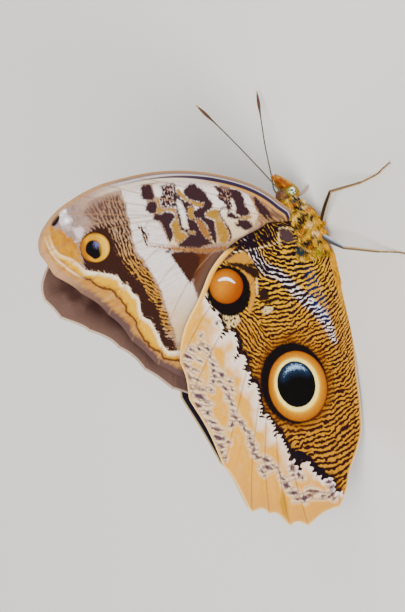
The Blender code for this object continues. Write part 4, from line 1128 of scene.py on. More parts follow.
def tube(name, rows, sides=12, side=1):
    """A closed round form: a ball whose rings move onto rows of x, y, z and radius."""
    line = np.array(rows, float)
    line[:, 1] *= side
    count = len(line)
    select_none()
    bpy.ops.mesh.primitive_uv_sphere_add(segments=sides, ring_count=count + 1, radius=1.0)
    item = bpy.context.object
    item.name = name
    start = numbers_of(item.data)
    ring = np.rint(np.arccos(np.clip(start[:, 2], -1, 1)) / pi * (count + 1)).astype(int)
    angle = np.arctan2(start[:, 1], start[:, 0])
    ahead = unit(np.gradient(line[:, :3], axis=0))
    up = np.tile((0.0, 0.0, 1.0), (count, 1))
    if abs(ahead[0, 2]) > 0.8:
        up[:] = (1.0, 0.0, 0.0)
    for index in range(count):
        before = up[max(index - 1, 0)]
        up[index] = before - ahead[index] * (before @ ahead[index])
        up[index] /= np.linalg.norm(up[index])
    across = np.cross(up, -ahead)
    index = np.clip(ring - 1, 0, count - 1)
    radius = line[index, 3] * ((ring > 0) & (ring <= count))
    facing = np.cos(angle)[:, None] * across[index] + np.sin(angle)[:, None] * up[index]
    spots = line[index, :3] + radius[:, None] * facing
    spots[ring == 0] -= ahead[0] * line[0, 3] * 0.7
    spots[ring > count] += ahead[-1] * line[-1, 3] * 0.7
    item.data.vertices.foreach_set("co", spots.ravel())
    item.data.update()
    lengths = lengths_along(line)
    keep(item.data, "along", lengths[index])
    keep(item.data, "to_tip", lengths[-1] - lengths[index])
    keep(item.data, "facing", facing)
    return item


def route(points, radii, step=SEGMENT):
    """Rows of x, y, z and radius on a smooth line through points, an even step apart."""
    rows = smooth_line([(*point, radius) for point, radius in zip(points, radii)], 12)
    lengths = lengths_along(rows)
    at = np.linspace(0, lengths[-1], max(4, round(lengths[-1] / step)))
    return np.column_stack([np.interp(at, lengths, rows[:, axis]) for axis in range(4)])


# Centres and half sizes of the body under its coat, which is up to 0.8 mm deep
CHEST = ((-1.0, 0.0, 7.2), (6.3, 4.0, 4.1))
BREAST = ((-0.9, 0.0, 4.7), (5.2, 3.8, 3.2))
COLLAR = ((3.7, 0.0, 7.2), (2.1, 2.7, 2.7))
NECK = ((5.3, 0.0, 7.3), (2.0, 2.0, 2.2))
WING_BASE = ((-0.5, 3.6, 8.6), (3.0, 1.2, 2.0))
HIPS = (((-0.7, 3.1, 2.3), (0.95, 0.95, 0.95)), ((-3.7, 3.3, 2.8), (1.15, 1.15, 1.15)))
HEAD = ((6.8, 0.0, 7.75), (1.95, 1.8, 2.15))
BELLY_FRONT, BELLY_TAIL, BELLY_RADIUS, BELLY_HEIGHT, BELLY_DROP = -4.5, -29.6, 2.72, 7.4, 1.2
BELLY_RINGS = 8


def belly():
    """The hind body: ringed, with a waist, tapering to the tail."""
    rows = []
    for t in np.linspace(0, 1, 97):
        waist = 0.72 + 0.28 * min(1.0, t / 0.2)
        groove = 0.13 * exp(-(sin(pi * t * BELLY_RINGS) / 0.35) ** 2)
        radius = (BELLY_RADIUS - groove) * waist * max(0.0, 1 - t ** 2.6) ** 0.5
        rows.append((BELLY_FRONT + (BELLY_TAIL - BELLY_FRONT) * t, 0, BELLY_HEIGHT - BELLY_DROP * t * t,
                     max(radius, 0.05)))
    return tube("belly", rows, sides=40)


def body_skin():
    """Head, chest, hips and belly as one skin without a seam."""
    select_none()
    pieces = [ball(*form) for form in (CHEST, BREAST, COLLAR, NECK, HEAD)]
    for side in (RIGHT, LEFT):
        pieces.append(ball(*WING_BASE, side))
        pieces += [ball(*hip, side) for hip in HIPS]
    pieces.append(belly())
    item = joined("body_skin", pieces)
    for name in ("along", "to_tip", "facing"):
        item.data.attributes.remove(item.data.attributes[name])
    melt = item.modifiers.new("one_skin", "REMESH")
    melt.mode = "VOXEL"
    melt.voxel_size = 0.22
    soften = item.modifiers.new("soften", "SMOOTH")
    soften.factor = 0.5
    soften.iterations = 6
    apply_all(item)
    return item


# Coat

def lie_of_hair(spots):
    """The way the hair lies on the body: backwards, parting down the flanks."""
    away = np.zeros_like(spots)
    away[:, 0] = -1.0
    away[:, 1] = 0.12 * spots[:, 1]
    away[:, 2] = -0.30 * smooth_step((spots[:, 0] + 8) / 8) * np.clip((9.0 - spots[:, 2]) / 4, 0, 1)
    return away


def roots_on(skin, wanted, gap, seed):
    """Places spread over the chosen parts of a skin, with their normals, at least about a gap apart."""
    rng = np.random.default_rng(seed)
    mesh = skin.data
    mesh.calc_loop_triangles()
    corners = np.zeros(len(mesh.loop_triangles) * 3, int)
    mesh.loop_triangles.foreach_get("vertices", corners)
    corners = corners.reshape(-1, 3)
    spots = numbers_of(mesh)
    normals = numbers_of(mesh, "normal")
    first, second, third = [spots[corners[:, index]] for index in range(3)]
    area = np.linalg.norm(np.cross(second - first, third - first), axis=1) / 2
    weight = area * wanted((first + second + third) / 3)
    count = int(3.0 * weight.sum() / gap ** 2)
    picked = rng.choice(len(area), size=count, p=weight / weight.sum())
    mix = rng.dirichlet((1, 1, 1), size=count)
    places = np.einsum("nk,nkd->nd", mix, spots[corners[picked]])
    facing = unit(np.einsum("nk,nkd->nd", mix, normals[corners[picked]]))
    # one root to a small cell keeps them even
    cells = np.floor(places / gap).astype(int)
    index = np.unique(cells, axis=0, return_index=True)[1]
    rng.shuffle(index)
    return places[index], facing[index]


def hair_coat(name, skin, wanted, gap, length, width, height, seed, lie=lie_of_hair, stray=0.25,
              unroll=None, most=12000):
    """Solid tufts that rise from the skin and bend over to lie along it.

    Each is a three-sided spike of three rings and a tip, with its root sunk in the skin.
    """
    places, facing = roots_on(skin, wanted, gap, seed)
    places, facing = places[:most], facing[:most]
    rng = np.random.default_rng(seed + 1)
    count = len(places)
    tree = BVHTree.FromPolygons([tuple(row) for row in numbers_of(skin.data)],
                                [tuple(face.vertices) for face in skin.data.polygons])
    lengths = length * rng.uniform(0.65, 1.25, count)
    heights = height * rng.uniform(0.5, 1.3, count)
    widths = width * rng.uniform(0.7, 1.2, count)
    yaw = rng.normal(0, stray, count)
    steps = (0.0, 0.3, 0.65, 1.0)
    rises = (-0.15, 0.62, 1.0, 0.95)
    spots = places.copy()
    normals = facing.copy()
    stations = []
    for index, (step, rise) in enumerate(zip(steps, rises)):
        flow = lie(spots)
        flow = unit(flow - normals * np.sum(flow * normals, axis=1, keepdims=True))
        beside = np.cross(normals, flow)
        flow = flow * np.cos(yaw)[:, None] + beside * np.sin(yaw)[:, None]
        if index:
            spots = spots + flow * (lengths * (step - steps[index - 1]))[:, None]
            for row in range(count):
                spots[row], normals[row] = tree.find_nearest(Vector(spots[row]))[:2]
        beside = unit(np.cross(normals, flow))
        stations.append((spots + normals * (heights * rise)[:, None], beside.copy(), normals.copy()))
    rows = []
    for (middle, beside, normal), share in zip(stations, (0.75, 1.0, 0.7)):
        half = (widths * share / 2)[:, None]
        rows += [middle - beside * half, middle + beside * half, middle + normal * half * 0.9]
    rows.append(stations[-1][0])
    points = np.stack(rows, axis=1).reshape(-1, 3)
    pattern = [(2, 1, 0)]
    for low in (0, 3):
        pattern += [(low + a, low + b, low + b + 3, low + a + 3) for a, b in ((0, 1), (1, 2), (2, 0))]
    pattern += [(6, 7, 9), (7, 8, 9), (8, 6, 9)]
    faces = [tuple(corner + 10 * index for corner in face) for index in range(count) for face in pattern]
    mesh = bpy.data.meshes.new(name)
    mesh.from_pydata(points.tolist(), [], faces)
    item = bpy.data.objects.new(name, mesh)
    bpy.context.scene.collection.objects.link(item)

    repeated = np.repeat(np.arange(count), 10)
    along = np.tile((0, 0, 0, 0.35, 0.35, 0.35, 0.7, 0.7, 0.7, 1.0), count)
    keep(mesh, "along_hair", along)
    keep(mesh, "shade", rng.uniform(0, 1, count)[repeated])
    keep(mesh, "root", places[repeated])
    aside = np.tile((-0.5, 0.5, 0, -0.5, 0.5, 0, -0.5, 0.5, 0, 0), count)
    unwrap = (unroll or unrolled)(places)[repeated] + 0.003 * np.column_stack((aside, along - 0.5))
    layer_uv = mesh.uv_layers.new(name="OFBake")
    corners = np.zeros(len(mesh.loops), int)
    mesh.loops.foreach_get("vertex_index", corners)
    layer_uv.data.foreach_set("uv", unwrap[corners].astype(np.float32).ravel())
    return item, places[repeated]


def unrolled(spots):
    """Each place on the body's skin unrolled round its long axis, within 0 to 1."""
    angle = np.arctan2(spots[:, 1], 7.0 - spots[:, 2])
    return np.column_stack((0.5 + angle / (2 * pi) * 0.96, 0.02 + 0.96 * (spots[:, 0] + 31) / 41))


# Markings of the coat, in x and z as the camera sees them on a plane beside the chest

FLANK_PLANE = 4.3
# centre, half sizes and lean in degrees
COAT_SPOTS = {
    "dark": (((0.7, 8.7), (0.75, 1.2), 0), ((-0.8, 10.3), (0.42, 1.0), 0), ((-3.5, 6.7), (0.5, 0.75), 0),
             ((-4.6, 8.9), (0.75, 1.4), 0), ((-4.9, 5.1), (0.45, 0.8), 0), ((3.7, 9.3), (0.38, 1.0), 0),
             ((6.4, 10.7), (0.28, 1.0), 0), ((0.7, 5.8), (0.5, 0.9), 30), ((1.6, 7.5), (0.35, 0.8), 0),
             ((2.4, 10.2), (0.38, 0.8), 0), ((-6.9, 9.6), (0.5, 0.9), 0), ((-1.8, 7.9), (0.25, 0.7), 20),
             ((-6.0, 7.0), (0.3, 0.8), 0), ((-7.4, 4.0), (0.3, 0.8), 0)),
    "blue": (((-3.1, 10.5), (0.55, 0.85), 0), ((-6.2, 10.9), (0.9, 1.2), 0), ((5.2, 9.4), (0.32, 1.5), 0),
             ((4.5, 8.2), (0.28, 1.0), 0), ((2.9, 8.4), (0.2, 0.7), 0)),
    "orange": (((2.7, 6.2), (0.3, 1.3), 0), ((2.5, 4.3), (0.4, 1.0), 0), ((-1.2, 9.1), (0.3, 0.7), 0),
               ((4.4, 10.2), (0.22, 0.9), 0), ((-5.6, 8.0), (0.3, 1.0), 0), ((-2.4, 9.4), (0.3, 0.6), 0)),
    "olive": (((-2.2, 8.2), (0.5, 0.9), 0), ((-7.2, 6.0), (0.7, 1.2), 0), ((-4.0, 10.6), (0.3, 0.6), 0)),
    "cream": (((-2.8, 5.5), (0.4, 1.2), 0), ((4.4, 6.4), (0.3, 1.5), -30), ((-0.4, 6.6), (0.3, 0.9), 0),
              ((3.2, 7.4), (0.2, 0.9), 0), ((6.0, 8.6), (0.3, 1.0), 0)),
}
# x, z and half width
COAT_STREAKS = {
    "dark": (((4.4, 7.2, 0.15), (3.4, 6.3, 0.2), (2.3, 5.0, 0.15)),
             ((5.9, 9.9, 0.15), (5.4, 8.0, 0.2), (5.2, 6.6, 0.1))),
}
COAT_COLOURS = ("cream", "orange", "olive", "blue", "dark")
COVERED = (0.7, 0, 0.2)        # how far before and above the place that it colours a tuft has its root


def coat_marks(spots):
    """What skin and hair keep at each place: depths inside the markings, and how far down it is."""
    x = spots[:, 0]
    z = spots[:, 2] + VIEW_SLOPE * (FLANK_PLANE - np.abs(spots[:, 1]))
    marks = {}
    for colour in COAT_COLOURS:
        depth = np.full(len(x), -FAR)
        for centre, half, lean in COAT_SPOTS.get(colour, ()):
            depth = np.maximum(depth, in_oval(x, z, centre, half, lean) + 0.1)
        for streak in COAT_STREAKS.get(colour, ()):
            depth = np.maximum(depth, in_stroke(x, z, streak))
        marks[colour] = depth
    marks["belly"] = np.clip(3.0 - spots[:, 2] + 0.25 * np.abs(spots[:, 1]), -FAR, FAR)
    marks["crown"] = np.clip(1.4 - np.hypot(x - 7.6, spots[:, 2] - 9.6), -FAR, FAR)
    return marks


def keep_all(mesh, marks):
    for name, values in marks.items():
        keep(mesh, name, values)


def keep_as_hair(mesh, shade, along):
    """What a skin keeps, so that it takes the same finish as its hair, with the painted shade of the hair's
    roots. Returns its places.
    """
    spots = numbers_of(mesh)
    keep(mesh, "root", spots)
    keep(mesh, "shade", np.full(len(spots), shade))
    keep(mesh, "along_hair", np.full(len(spots), along))
    return spots


def lit(colour, shades, root_shade_range):
    """Hair of a colour: each tuft has its own tone, and painted shade makes it darker at its root and lighter
    at its tip.
    """
    tree = colour.tree
    shade = span(field(tree, "shade"), 0, 1, shades[1], shades[0])
    # painted shade at the root, painted light at the tip
    painted_root_shade = span(field(tree, "along_hair"), 0, 1, root_shade_range[1], root_shade_range[0])
    return add(tree, "VectorMath", {"operation": "SCALE", 0: colour, "Scale": shade * painted_root_shade})


def golden_hair():
    """Soft dull hair: gold, with dark blue-brown spots and painted highlights, paler at the tips from painted
    light.
    """
    material, tree, shader = surface("golden_body_hair", 0.75, specular=0.15)
    root = place_field(tree, "root")
    broad = mottle(root, 0.45)
    fine = mottle(root, 1.6, detail=3)
    ragged = mottle(root, 1.4, reach=0.35)
    streak = mottle(root, 1, stretch=(0.5, 1.7, 1.7), detail=3)
    colour = lay("#DCA400", "#BC8404", cover(broad, 0.7, low=0.2))
    # pale blotches: painted highlights on the hair
    colour = lay(colour, "#F0CE68", cover(fine, 0.5, low=0.45))
    colour = lay(colour, "#D89A10", cover(field(tree, "belly"), 1))
    colour = lay(colour, "#6A4414", cover(streak, 0.4, low=0.35) * 0.85)
    for name, code, soft in (("cream", "#E8C890", 0.35), ("orange", "#C07000", 0.35),
                             ("olive", "#94800C", 0.35), ("blue", "#162C36", 0.2), ("dark", "#1A0C12", 0.2)):
        colour = lay(colour, code, cover(field(tree, name), soft, ragged))
    colour = lay(colour, "#7C5240", cover(field(tree, "crown"), 0.8, ragged))
    paint(shader, lit(colour, (0.5, 1.5), (0.6, 1.2)))
    return material


def palp_hair():
    """Short stiff scales, orange with a pale front edge."""
    material, tree, shader = surface("orange_palp_scales", 0.7, specular=0.2)
    fine = mottle(place_field(tree, "root"), 1.2, detail=3)
    colour = lay("#A04E04", "#C88420", cover(fine, 0.6, low=0.3))
    colour = lay(colour, "#E4C070", cover(field(tree, "front"), 0.35))
    colour = lay(colour, "#B08A1C", cover(field(tree, "low"), 1.2))
    paint(shader, lit(colour, (0.7, 1.2), (0.6, 1.1)))
    return material


EYE = ((7.75, 1.55, 7.3), (1.15, 1.2, 1.5))


def eye_cornea():
    """A smooth faceted cornea, with a painted glow of light in its middle and dark dashes inside that glow.
    """
    material, tree, shader = surface("faceted_cornea", 0.22)
    spot = place_field(tree, "eye_place")
    flat = add(tree, "VectorMath", {"operation": "MULTIPLY", 0: spot, 1: (1, 0, 1)})
    rows = add(tree, "Mapping", {"Scale": (2.1, 1, 0.9), "Vector": flat})
    cells = add(tree, "TexVoronoi", {"Scale": 1.0, "Randomness": 0.55, "Vector": rows}, "Distance")
    out = add(tree, "VectorMath", {"operation": "LENGTH", 0: flat}, "Value")
    colour = lay("#B4BC50", "#8C9428", cover(mottle(spot, 0.7), 0.8))
    # near-white middle: painted glow of light
    colour = lay(colour, "#F4F4E0", span(out, 0.95, 0.6))
    colour = lay(colour, "#14140C", span(cells, 0.54, 0.44) * span(out, 0.95, 0.75))
    colour = lay(colour, "#6A6420", span(out, 0.95, 1.1))
    # facets are 0.03 mm across; these are 0.09 mm, or they wouldn't show
    facets = add(tree, "TexVoronoi", {"Scale": 11.0, "Randomness": 0.1, "Vector": spot}, "Distance")
    paint(shader, colour, facets, 0.15, 0.02)
    return material


def finish_piece(item, material, slot, *nodes):
    """Places a piece made in mm, smooth and with its finish, on the body that it stands for."""
    place(item.data, numbers_of(item.data))
    item.data.materials.clear()
    item.data.materials.append(material)
    item.data.shade_smooth()
    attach(item, "root")
    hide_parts(*nodes)
    return item


def eye(side, word, material):
    centre, half = EYE
    select_none()
    item = ball((centre[0], centre[1], centre[2]), half, side)
    item.name = "eye_%s_cornea" % word
    spots = numbers_of(item.data)
    keep(item.data, "eye_place", spots - np.array((centre[0], side * centre[1], centre[2])))
    return finish_piece(item, material, "eye_cornea", "eye_" + word)


# Slim parts: feelers, mouthparts and legs

RIGHT_FEELER = ((6.9, 0.9, 8.4), (8.6, 1.0, 10.1), (13.6, 1.0, 13.8), (19.8, 1.0, 18.6), (25.1, 1.0, 22.9),
                (31.3, 1.0, 28.3))
LEFT_FEELER = ((6.9, 0.9, 8.4), (8.9, 1.2, 9.7), (12.9, 2.0, 8.9), (19.5, 4.6, 6.6), (25.5, 6.6, 4.4),
               (32.4, 8.8, 1.9))
PALP = ((6.4, 0.8, 6.4), (6.9, 0.95, 5.5), (7.9, 1.05, 5.9), (9.2, 1.05, 7.2), (10.6, 0.9, 8.5),
        (12.1, 0.55, 9.9))
PALP_RADII = (0.5, 0.68, 0.76, 0.78, 0.5, 0.06)
TONGUE = ((6.3, 0, 6), (6.6, 0, 3.6), (7.2, -0.1, 2.0), (7.8, -0.2, 1.1), (8.2, -0.3, 0.8))
TONGUE_RADII = (0.34, 0.35, 0.35, 0.3, 0.16)
MID_LEG = ((-0.7, 3.3, 1.7), (5.4, 14, 6.2), (5.8, 20.8, 2.4), (6.7, 24, 0.3), (8.5, 29.2, 0.26))
HIND_LEG = ((-3.7, 3.3, 2.6), (-7.7, 14, 6), (-10.4, 21.6, 2.4), (-11.4, 25, 0.3), (-12.9, 30.4, 0.26))
FRONT_LEG = ((3.0, 1.6, 4.6), (4.3, 1.9, 4.4), (4.9, 1.8, 5.0), (5.3, 1.6, 5.8))
FRONT_LEG_RADII = (0.36, 0.38, 0.3, 0.12)


def feeler(word, points, side, material):
    """A thin ringed feeler with a slender club."""
    rows = route(points, (0.2, 0.19, 0.17, 0.16, 0.16, 0.15), 0.2)
    lengths = lengths_along(rows)
    to_tip = lengths[-1] - lengths
    rows[:, 3] += 0.24 * np.exp(-((to_tip - 3.2) / 2.2) ** 2) - 0.018 * (np.arange(len(rows)) % 3 == 0)
    rows[-3:, 3] *= (0.9, 0.7, 0.45)
    item = tube("antenna_%s_ringed" % word, rows, 12, side)
    return finish_piece(item, material, "cuticle", "antenna_" + word)


def spine(foot, toward, length, radius):
    """A short stiff spine standing on a leg."""
    bpy.ops.mesh.primitive_cone_add(vertices=5, radius1=radius, radius2=0.0, depth=length)
    item = bpy.context.object
    turn = Vector(toward).to_track_quat("Z", "Y").to_matrix().to_4x4()
    item.data.transform(Matrix.Translation(Vector(foot) + Vector(toward).normalized() * length * 0.4) @ turn)
    return item


def leg(name, points, side, material, seed):
    """Thigh, shin and a foot of five joints with claws, with spines along shin and foot."""
    hip, knee, ankle, sole, toe = [np.array(point) for point in points]
    bow = (hip + knee) / 2 + np.array((0, 0, 0.25))
    rng = np.random.default_rng(seed)
    thigh = route((hip, bow, knee), (0.62, 0.62, 0.42))
    shin = route((knee, (knee + ankle) / 2, ankle), (0.38, 0.34, 0.30), 0.3)
    foot = route((ankle, sole, (sole + toe) / 2, toe), (0.27, 0.25, 0.23, 0.2), 0.18)
    joints = np.linspace(0, 1, len(foot)) * 5 % 1
    foot[:, 3] *= 0.80 + 0.26 * joints ** 1.5
    parts = []
    for part, rows in enumerate((thigh, shin, foot)):
        item = tube("part", rows, 14, side)
        keep(item.data, "part", np.full(len(item.data.vertices), float(part)))
        parts.append(item)
    for rows, gap in ((shin, 4), (foot, 4)):
        for index in range(2, len(rows) - 2, gap):
            ahead = rows[index + 1, :3] - rows[index - 1, :3]
            ahead /= np.linalg.norm(ahead)
            for way in ((0.5, 0, -0.8), (-0.5, 0, -0.8), (0.8, 0, 0.3), (-0.8, 0, 0.3)):
                toward = np.array(way) + ahead * 1.1 + rng.normal(0, 0.12, 3)
                start = rows[index, :3] + np.array(way) * rows[index, 3] * 0.7
                if start[2] < 0.25 and way[2] < 0:
                    continue
                start[1] *= side
                toward[1] *= side
                parts.append(spine(start, toward, rng.uniform(0.35, 0.6), 0.05))
    ahead = (toe - (sole + toe) / 2)
    ahead /= np.linalg.norm(ahead)
    beside = np.cross(ahead, (0, 0, 1))
    for way in (-1, 1):
        claw = [toe + ahead * 0.05 + beside * 0.06 * way,
                toe + ahead * 0.35 + beside * 0.2 * way + (0, 0, 0.06),
                toe + ahead * 0.6 + beside * 0.3 * way - (0, 0, 0.14)]
        item = tube("claw", route(claw, (0.09, 0.06, 0.02), 0.1), 8, side)
        keep(item.data, "part", np.full(len(item.data.vertices), 3.0))
        parts.append(item)
    item = joined(name, parts)
    nodes = [name.replace("leg", part) for part in ("femur", "tibia", "tarsus")]
    return finish_piece(item, material, "cuticle", *nodes)


def leg_cuticle(name, skin, thigh, shadow, lean):
    """Satin cuticle under short flat scales: pale, with a dark line along the front of the thigh."""
    material, tree, shader = surface(name, 0.5, specular=0.3)
    spot = add(tree, "TexCoord", {}, "Object")
    grain = add(tree, "Mapping", {"Scale": (1 / MM, 1 / MM, 1 / MM), "Vector": spot})
    fine = mottle(grain, 2.5, detail=3)
    facing = place_field(tree, "facing")
    upward = axis_of(facing, "Z") + axis_of(facing, "X") * lean
    part = field(tree, "part")
    on_thigh = span(part, 0.5, 0.4)
    colour = lay(skin, "#8B6A44", cover(fine, 0.6, low=0.5))
    colour = lay(colour, thigh, on_thigh)
    colour = lay(colour, shadow, span(upward, 0.05, 0.2) * on_thigh)
    colour = lay(colour, "#3E2C1C", span(upward, 0.45, 0.7, 0.8))
    colour = lay(colour, "#1C100A", span(part, 2.4, 2.6))
    paint(shader, colour, fine, 0.3, 0.04)
    return material


def rings_of(tree, pitch):
    """A wave along a slim form, with that many mm to a ring."""
    return (field(tree, "along") * (2 * pi / pitch)).math("SINE")


def feeler_cuticle():
    """Fine rings of horn, dark olive with a brown club and a pale tip."""
    material, tree, shader = surface("feeler_horn", 0.5, specular=0.3)
    wave = rings_of(tree, 0.6)
    to_tip = field(tree, "to_tip")
    colour = lay("#534E3C", "#2A241C", cover(wave, 0.5, low=0.6))
    colour = lay(colour, "#4E2C1C", span(to_tip, 7, 5))
    colour = lay(colour, "#A07848", span(to_tip, 1.2, 0.6))
    paint(shader, colour, wave, 0.5, 0.05)
    return material


def tongue_cuticle():
    """The drinking tube: two halves side by side, finely ringed, grey-brown."""
    material, tree, shader = surface("drinking_tube_cuticle", 0.42, specular=0.4)
    wave = rings_of(tree, 0.25)
    paint(shader, lay("#A89084", "#7C6054", cover(wave, 0.6, low=0.4)), wave, 0.4, 0.04)
    return material


def along_line(rows, side):
    """A way to unroll a slim form's skin: round its middle line, and along it."""
    line = np.array(rows, float)[:, :3] * (1, side, 1)
    ahead = unit(np.gradient(line, axis=0))

    def unroll(spots):
        index = nearest_row(spots, line)
        offset = spots - line[index]
        level = unit(np.cross(ahead[index], np.tile((0.0, 0.0, 1.0), (len(spots), 1))))
        up = np.cross(level, ahead[index])
        angle = np.arctan2(np.sum(offset * up, axis=1), np.sum(offset * level, axis=1))
        return np.column_stack((0.5 + angle / (2 * pi) * 0.96, 0.02 + 0.96 * index / len(line)))
    return unroll, line, ahead


def in_fixed_order(form):
    """A copy of a form with its faces in a fixed order; Blender's ball has another one each run."""
    faces = []
    for face in form.data.polygons:
        corners = list(face.vertices)
        first = corners.index(min(corners))
        faces.append(corners[first:] + corners[:first])
    mesh = bpy.data.meshes.new("ordered")
    mesh.from_pydata(numbers_of(form.data).tolist(), [], sorted(faces))
    return bpy.data.objects.new("ordered", mesh)


def slim_coat(name, rows, side, marks, **sizes):
    """A slim form's skin and its coat, which lies towards its tip."""
    skin = tube(name + "_skin", rows, 20, side)
    ordered = in_fixed_order(skin)
    unroll, line, ahead = along_line(rows, side)

    def lie(spots):
        return ahead[nearest_row(spots, line)]

    coat, roots = hair_coat(name + "_hair", ordered, lambda spots: np.ones(len(spots)), lie=lie,
                            unroll=unroll, **sizes)
    bpy.data.meshes.remove(ordered.data)
    # the skin under the coat gets the painted shade of the hair's roots
    spots = keep_as_hair(skin.data, 0.5, 0.2)
    keep_all(skin.data, marks(spots))
    keep_all(coat.data, marks(roots))
    return skin, coat


def palp_marks(spots):
    """The palps' pale front edge and olive base."""
    middle = nearest_row(spots, PALP_LINE)
    front = (spots[:, 0] - PALP_LINE[middle, 0]) * 0.8 - (spots[:, 2] - PALP_LINE[middle, 2]) * 0.6
    return {"front": front - 0.25, "low": 6.2 - spots[:, 2]}


PALP_LINE = route(PALP, PALP_RADII, 0.3)[:, :3] * (1, 0, 1)


def wing_root(side):
    """The patch of a hindwing's outer face onto which the chest's hair spreads."""
    select_none()
    bpy.ops.mesh.primitive_grid_add(x_subdivisions=64, y_subdivisions=46, size=1.0)
    item = bpy.context.object
    flat = numbers_of(item.data)
    x = -7.5 + flat[:, 0] * 17
    z = 6.3 + flat[:, 1] * 12.2
    spots = np.column_stack((x, side * (layer(x, z, True) + 0.08), z))
    item.data.vertices.foreach_set("co", spots.ravel())
    if side == LEFT:
        turn_inside_out()
    item.data.update()
    return item


def spread_of_hair(spots):
    """Dense beside the chest, thinning out behind, and far back only along the lower margin."""
    x, z = spots[:, 0], spots[:, 2]
    outline = outline_of(*HIND_FORM[:5], 0.0)
    on_wing = in_outline(x, z, outline) > 0.15
    beside = smooth_step((x + 8.0) / 2.5) * smooth_step((11.4 - 0.35 * x - z - 1.5) / 1.5)
    margin = smooth_step((x + 15.5) / 5.0) * smooth_step((2.2 - z) / 1.0)
    return on_wing * np.maximum(beside, margin)


def lie_on_wing(spots):
    return np.tile((-1.0, 0.0, -0.3), (len(spots), 1))


def unrolled_flank(spots):
    return np.column_stack((0.02 + 0.96 * (spots[:, 0] + 17) / 20, 0.02 + 0.96 * spots[:, 2] / 14))


def make_body():
    gold = golden_hair()
    skin = body_skin()

    def on_chest(spots, side):
        hidden = (np.abs(spots[:, 1]) < 2.4) & (spots[:, 2] > 9.5) & (spots[:, 0] < 2)
        here = (spots[:, 0] > -7.5) & (spots[:, 0] < 6.2) & (spots[:, 1] * side > 0)
        return here * np.where(hidden, 0.25, 1.0)

    def on_head(spots):
        clear = np.ones(len(spots), bool)
        for side in (RIGHT, LEFT):
            from_eye = (spots - np.array((EYE[0][0], side * EYE[0][1], EYE[0][2]))) / np.array(EYE[1])
            clear &= np.linalg.norm(from_eye, axis=1) > 1.02
        return (spots[:, 0] >= 5.6) & clear

    def on_belly(spots):
        return spots[:, 0] <= -7.2

    coats = [hair_coat("head_hair", skin, on_head, gap=0.11, length=0.9, width=0.12, height=0.34, seed=12),
             hair_coat("belly_hair", skin, on_belly, gap=0.24, length=1.4, width=0.22, height=0.28, seed=13)]
    for side, word in SIDES:
        coats.append(hair_coat("chest_hair_" + word, skin, lambda spots: on_chest(spots, side),
                               gap=0.14, length=1.7, width=0.19, height=0.5, seed=14 + side))
        patch = wing_root(side)
        coats.append(hair_coat("wing_root_hair_" + word, patch, spread_of_hair, lie=lie_on_wing,
                               unroll=unrolled_flank, gap=0.15, length=1.8, width=0.18, height=0.36,
                               seed=17 + side))
        bpy.data.objects.remove(patch)
    # the skin between the tufts gets the painted shade of the hair's roots
    keep_all(skin.data, coat_marks(keep_as_hair(skin.data, 0.4, 0.1)))
    finish_piece(skin, gold, "body_hair", "head", "thorax", "abdomen")
    for coat, roots in coats:
        keep_all(coat.data, coat_marks(roots - COVERED))
        finish_piece(coat, gold, "body_hair")

    cornea = eye_cornea()
    orange = palp_hair()
    horn = feeler_cuticle()
    mid_cuticle = leg_cuticle("mid_leg_cuticle", "#B48B53", "#A89A84", "#080404", 0.35)
    hind_cuticle = leg_cuticle("hind_leg_cuticle", "#B89868", "#AEBCC8", "#5C6C7E", -0.6)
    for side, word, points in ((RIGHT, "right", RIGHT_FEELER), (LEFT, "left", LEFT_FEELER)):
        eye(side, word, cornea)
        feeler(word, points, side, horn)
        skin, coat = slim_coat("palp_" + word, route(PALP, PALP_RADII, 0.3), side, palp_marks,
                               gap=0.13, length=0.85, width=0.15, height=0.2, seed=21 + side)
        finish_piece(skin, orange, "palp_hair", "palp_" + word)
        finish_piece(coat, orange, "palp_hair")
        skin, coat = slim_coat("foreleg_" + word, route(FRONT_LEG, FRONT_LEG_RADII, 0.2), side, coat_marks,
                               gap=0.16, length=1.0, width=0.15, height=0.2, seed=31 + side)
        finish_piece(skin, gold, "body_hair", "foreleg_" + word)
        finish_piece(coat, gold, "body_hair")
        leg("leg_mid_" + word, MID_LEG, side, mid_cuticle, 41)
        leg("leg_hind_" + word, HIND_LEG, side, hind_cuticle, 42)
    tongue = tube("drinking_tube", route(TONGUE, TONGUE_RADII, 0.25), 14)
    finish_piece(tongue, tongue_cuticle(), "cuticle", "proboscis")


# Stage

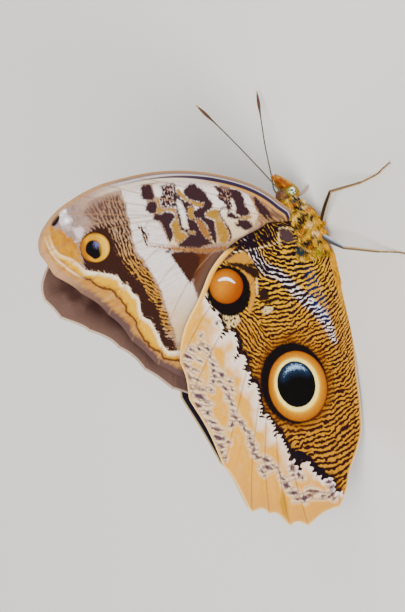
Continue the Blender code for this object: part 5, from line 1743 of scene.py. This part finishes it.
def make_stage():
    select_none()
    bpy.ops.mesh.primitive_plane_add(size=4.0, location=(0, 0, 0))
    floor = bpy.context.object
    floor.name = "floor"
    material, _, shader = surface("pale_matt_board", 0.9, specular=0.2)
    shader.inputs["Base Color"].default_value = linear("#D9D6D0")
    floor.data.materials.append(material)

    target = Vector((CAMERA_TARGET.x + SHIFT, CAMERA_TARGET.y, CAMERA_TARGET.z)) * MM
    turn = Euler((radians(90 - CAMERA_HEIGHT), 0, 0)).to_matrix()
    turn = turn @ Matrix.Rotation(-radians(CAMERA_ROLL), 3, "Z")
    lens = bpy.data.cameras.new("camera")
    lens.sensor_width = SENSOR
    lens.lens = SENSOR * CAMERA_DISTANCE / PIXEL / FRAME_HEIGHT
    camera = bpy.data.objects.new("camera", lens)
    camera.matrix_world = Matrix.Translation(target + turn.col[2] * CAMERA_DISTANCE * MM) @ turn.to_4x4()
    bpy.context.scene.collection.objects.link(camera)
    bpy.context.scene.camera = camera

    for name, direction, distance, size, power in (("key", (-0.25, -0.75, 0.85), 0.8, 0.5, 12.0),
                                                   ("fill", (0.9, -0.4, 0.5), 0.9, 0.7, 4.0),
                                                   ("back", (-0.3, 0.9, 0.7), 0.9, 0.7, 4.0)):
        light = bpy.data.lights.new(name, "AREA")
        light.size = size
        light.energy = power
        lamp = bpy.data.objects.new(name, light)
        toward = Vector(direction).normalized()
        lamp.location = target + toward * distance
        lamp.rotation_euler = toward.to_track_quat("Z", "Y").to_euler()
        bpy.context.scene.collection.objects.link(lamp)
    world = bpy.data.worlds.new("studio")
    bpy.context.scene.world = world
    world.use_nodes = True
    world.node_tree.nodes["Background"].inputs[0].default_value = linear("#E6E6E6")
    world.node_tree.nodes["Background"].inputs[1].default_value = 0.6


make_stage()
make_body()

fore_under = forewing_underside()
hind_under = hindwing_underside()
fore_upper = upperside("forewing_scales_upperside", "#341E19", "#5E453C", "#B49C84")
hind_upper = upperside("hindwing_scales_upperside", "#141424", "#1E1824", "#C4AC86")
for side, word in SIDES:
    swing = LEFT_FOREWING_SWING if side == LEFT else 0.0
    for kind, is_hind, turn, outer, inner in (("forewing", False, swing, fore_under, fore_upper),
                                              ("hindwing", True, 0.0, hind_under, hind_upper)):
        item = wing("%s_%s_sheet" % (kind, word), side, is_hind, turn, outer, inner)
        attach(item, "root")
        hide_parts("%s_%s" % (kind, word))
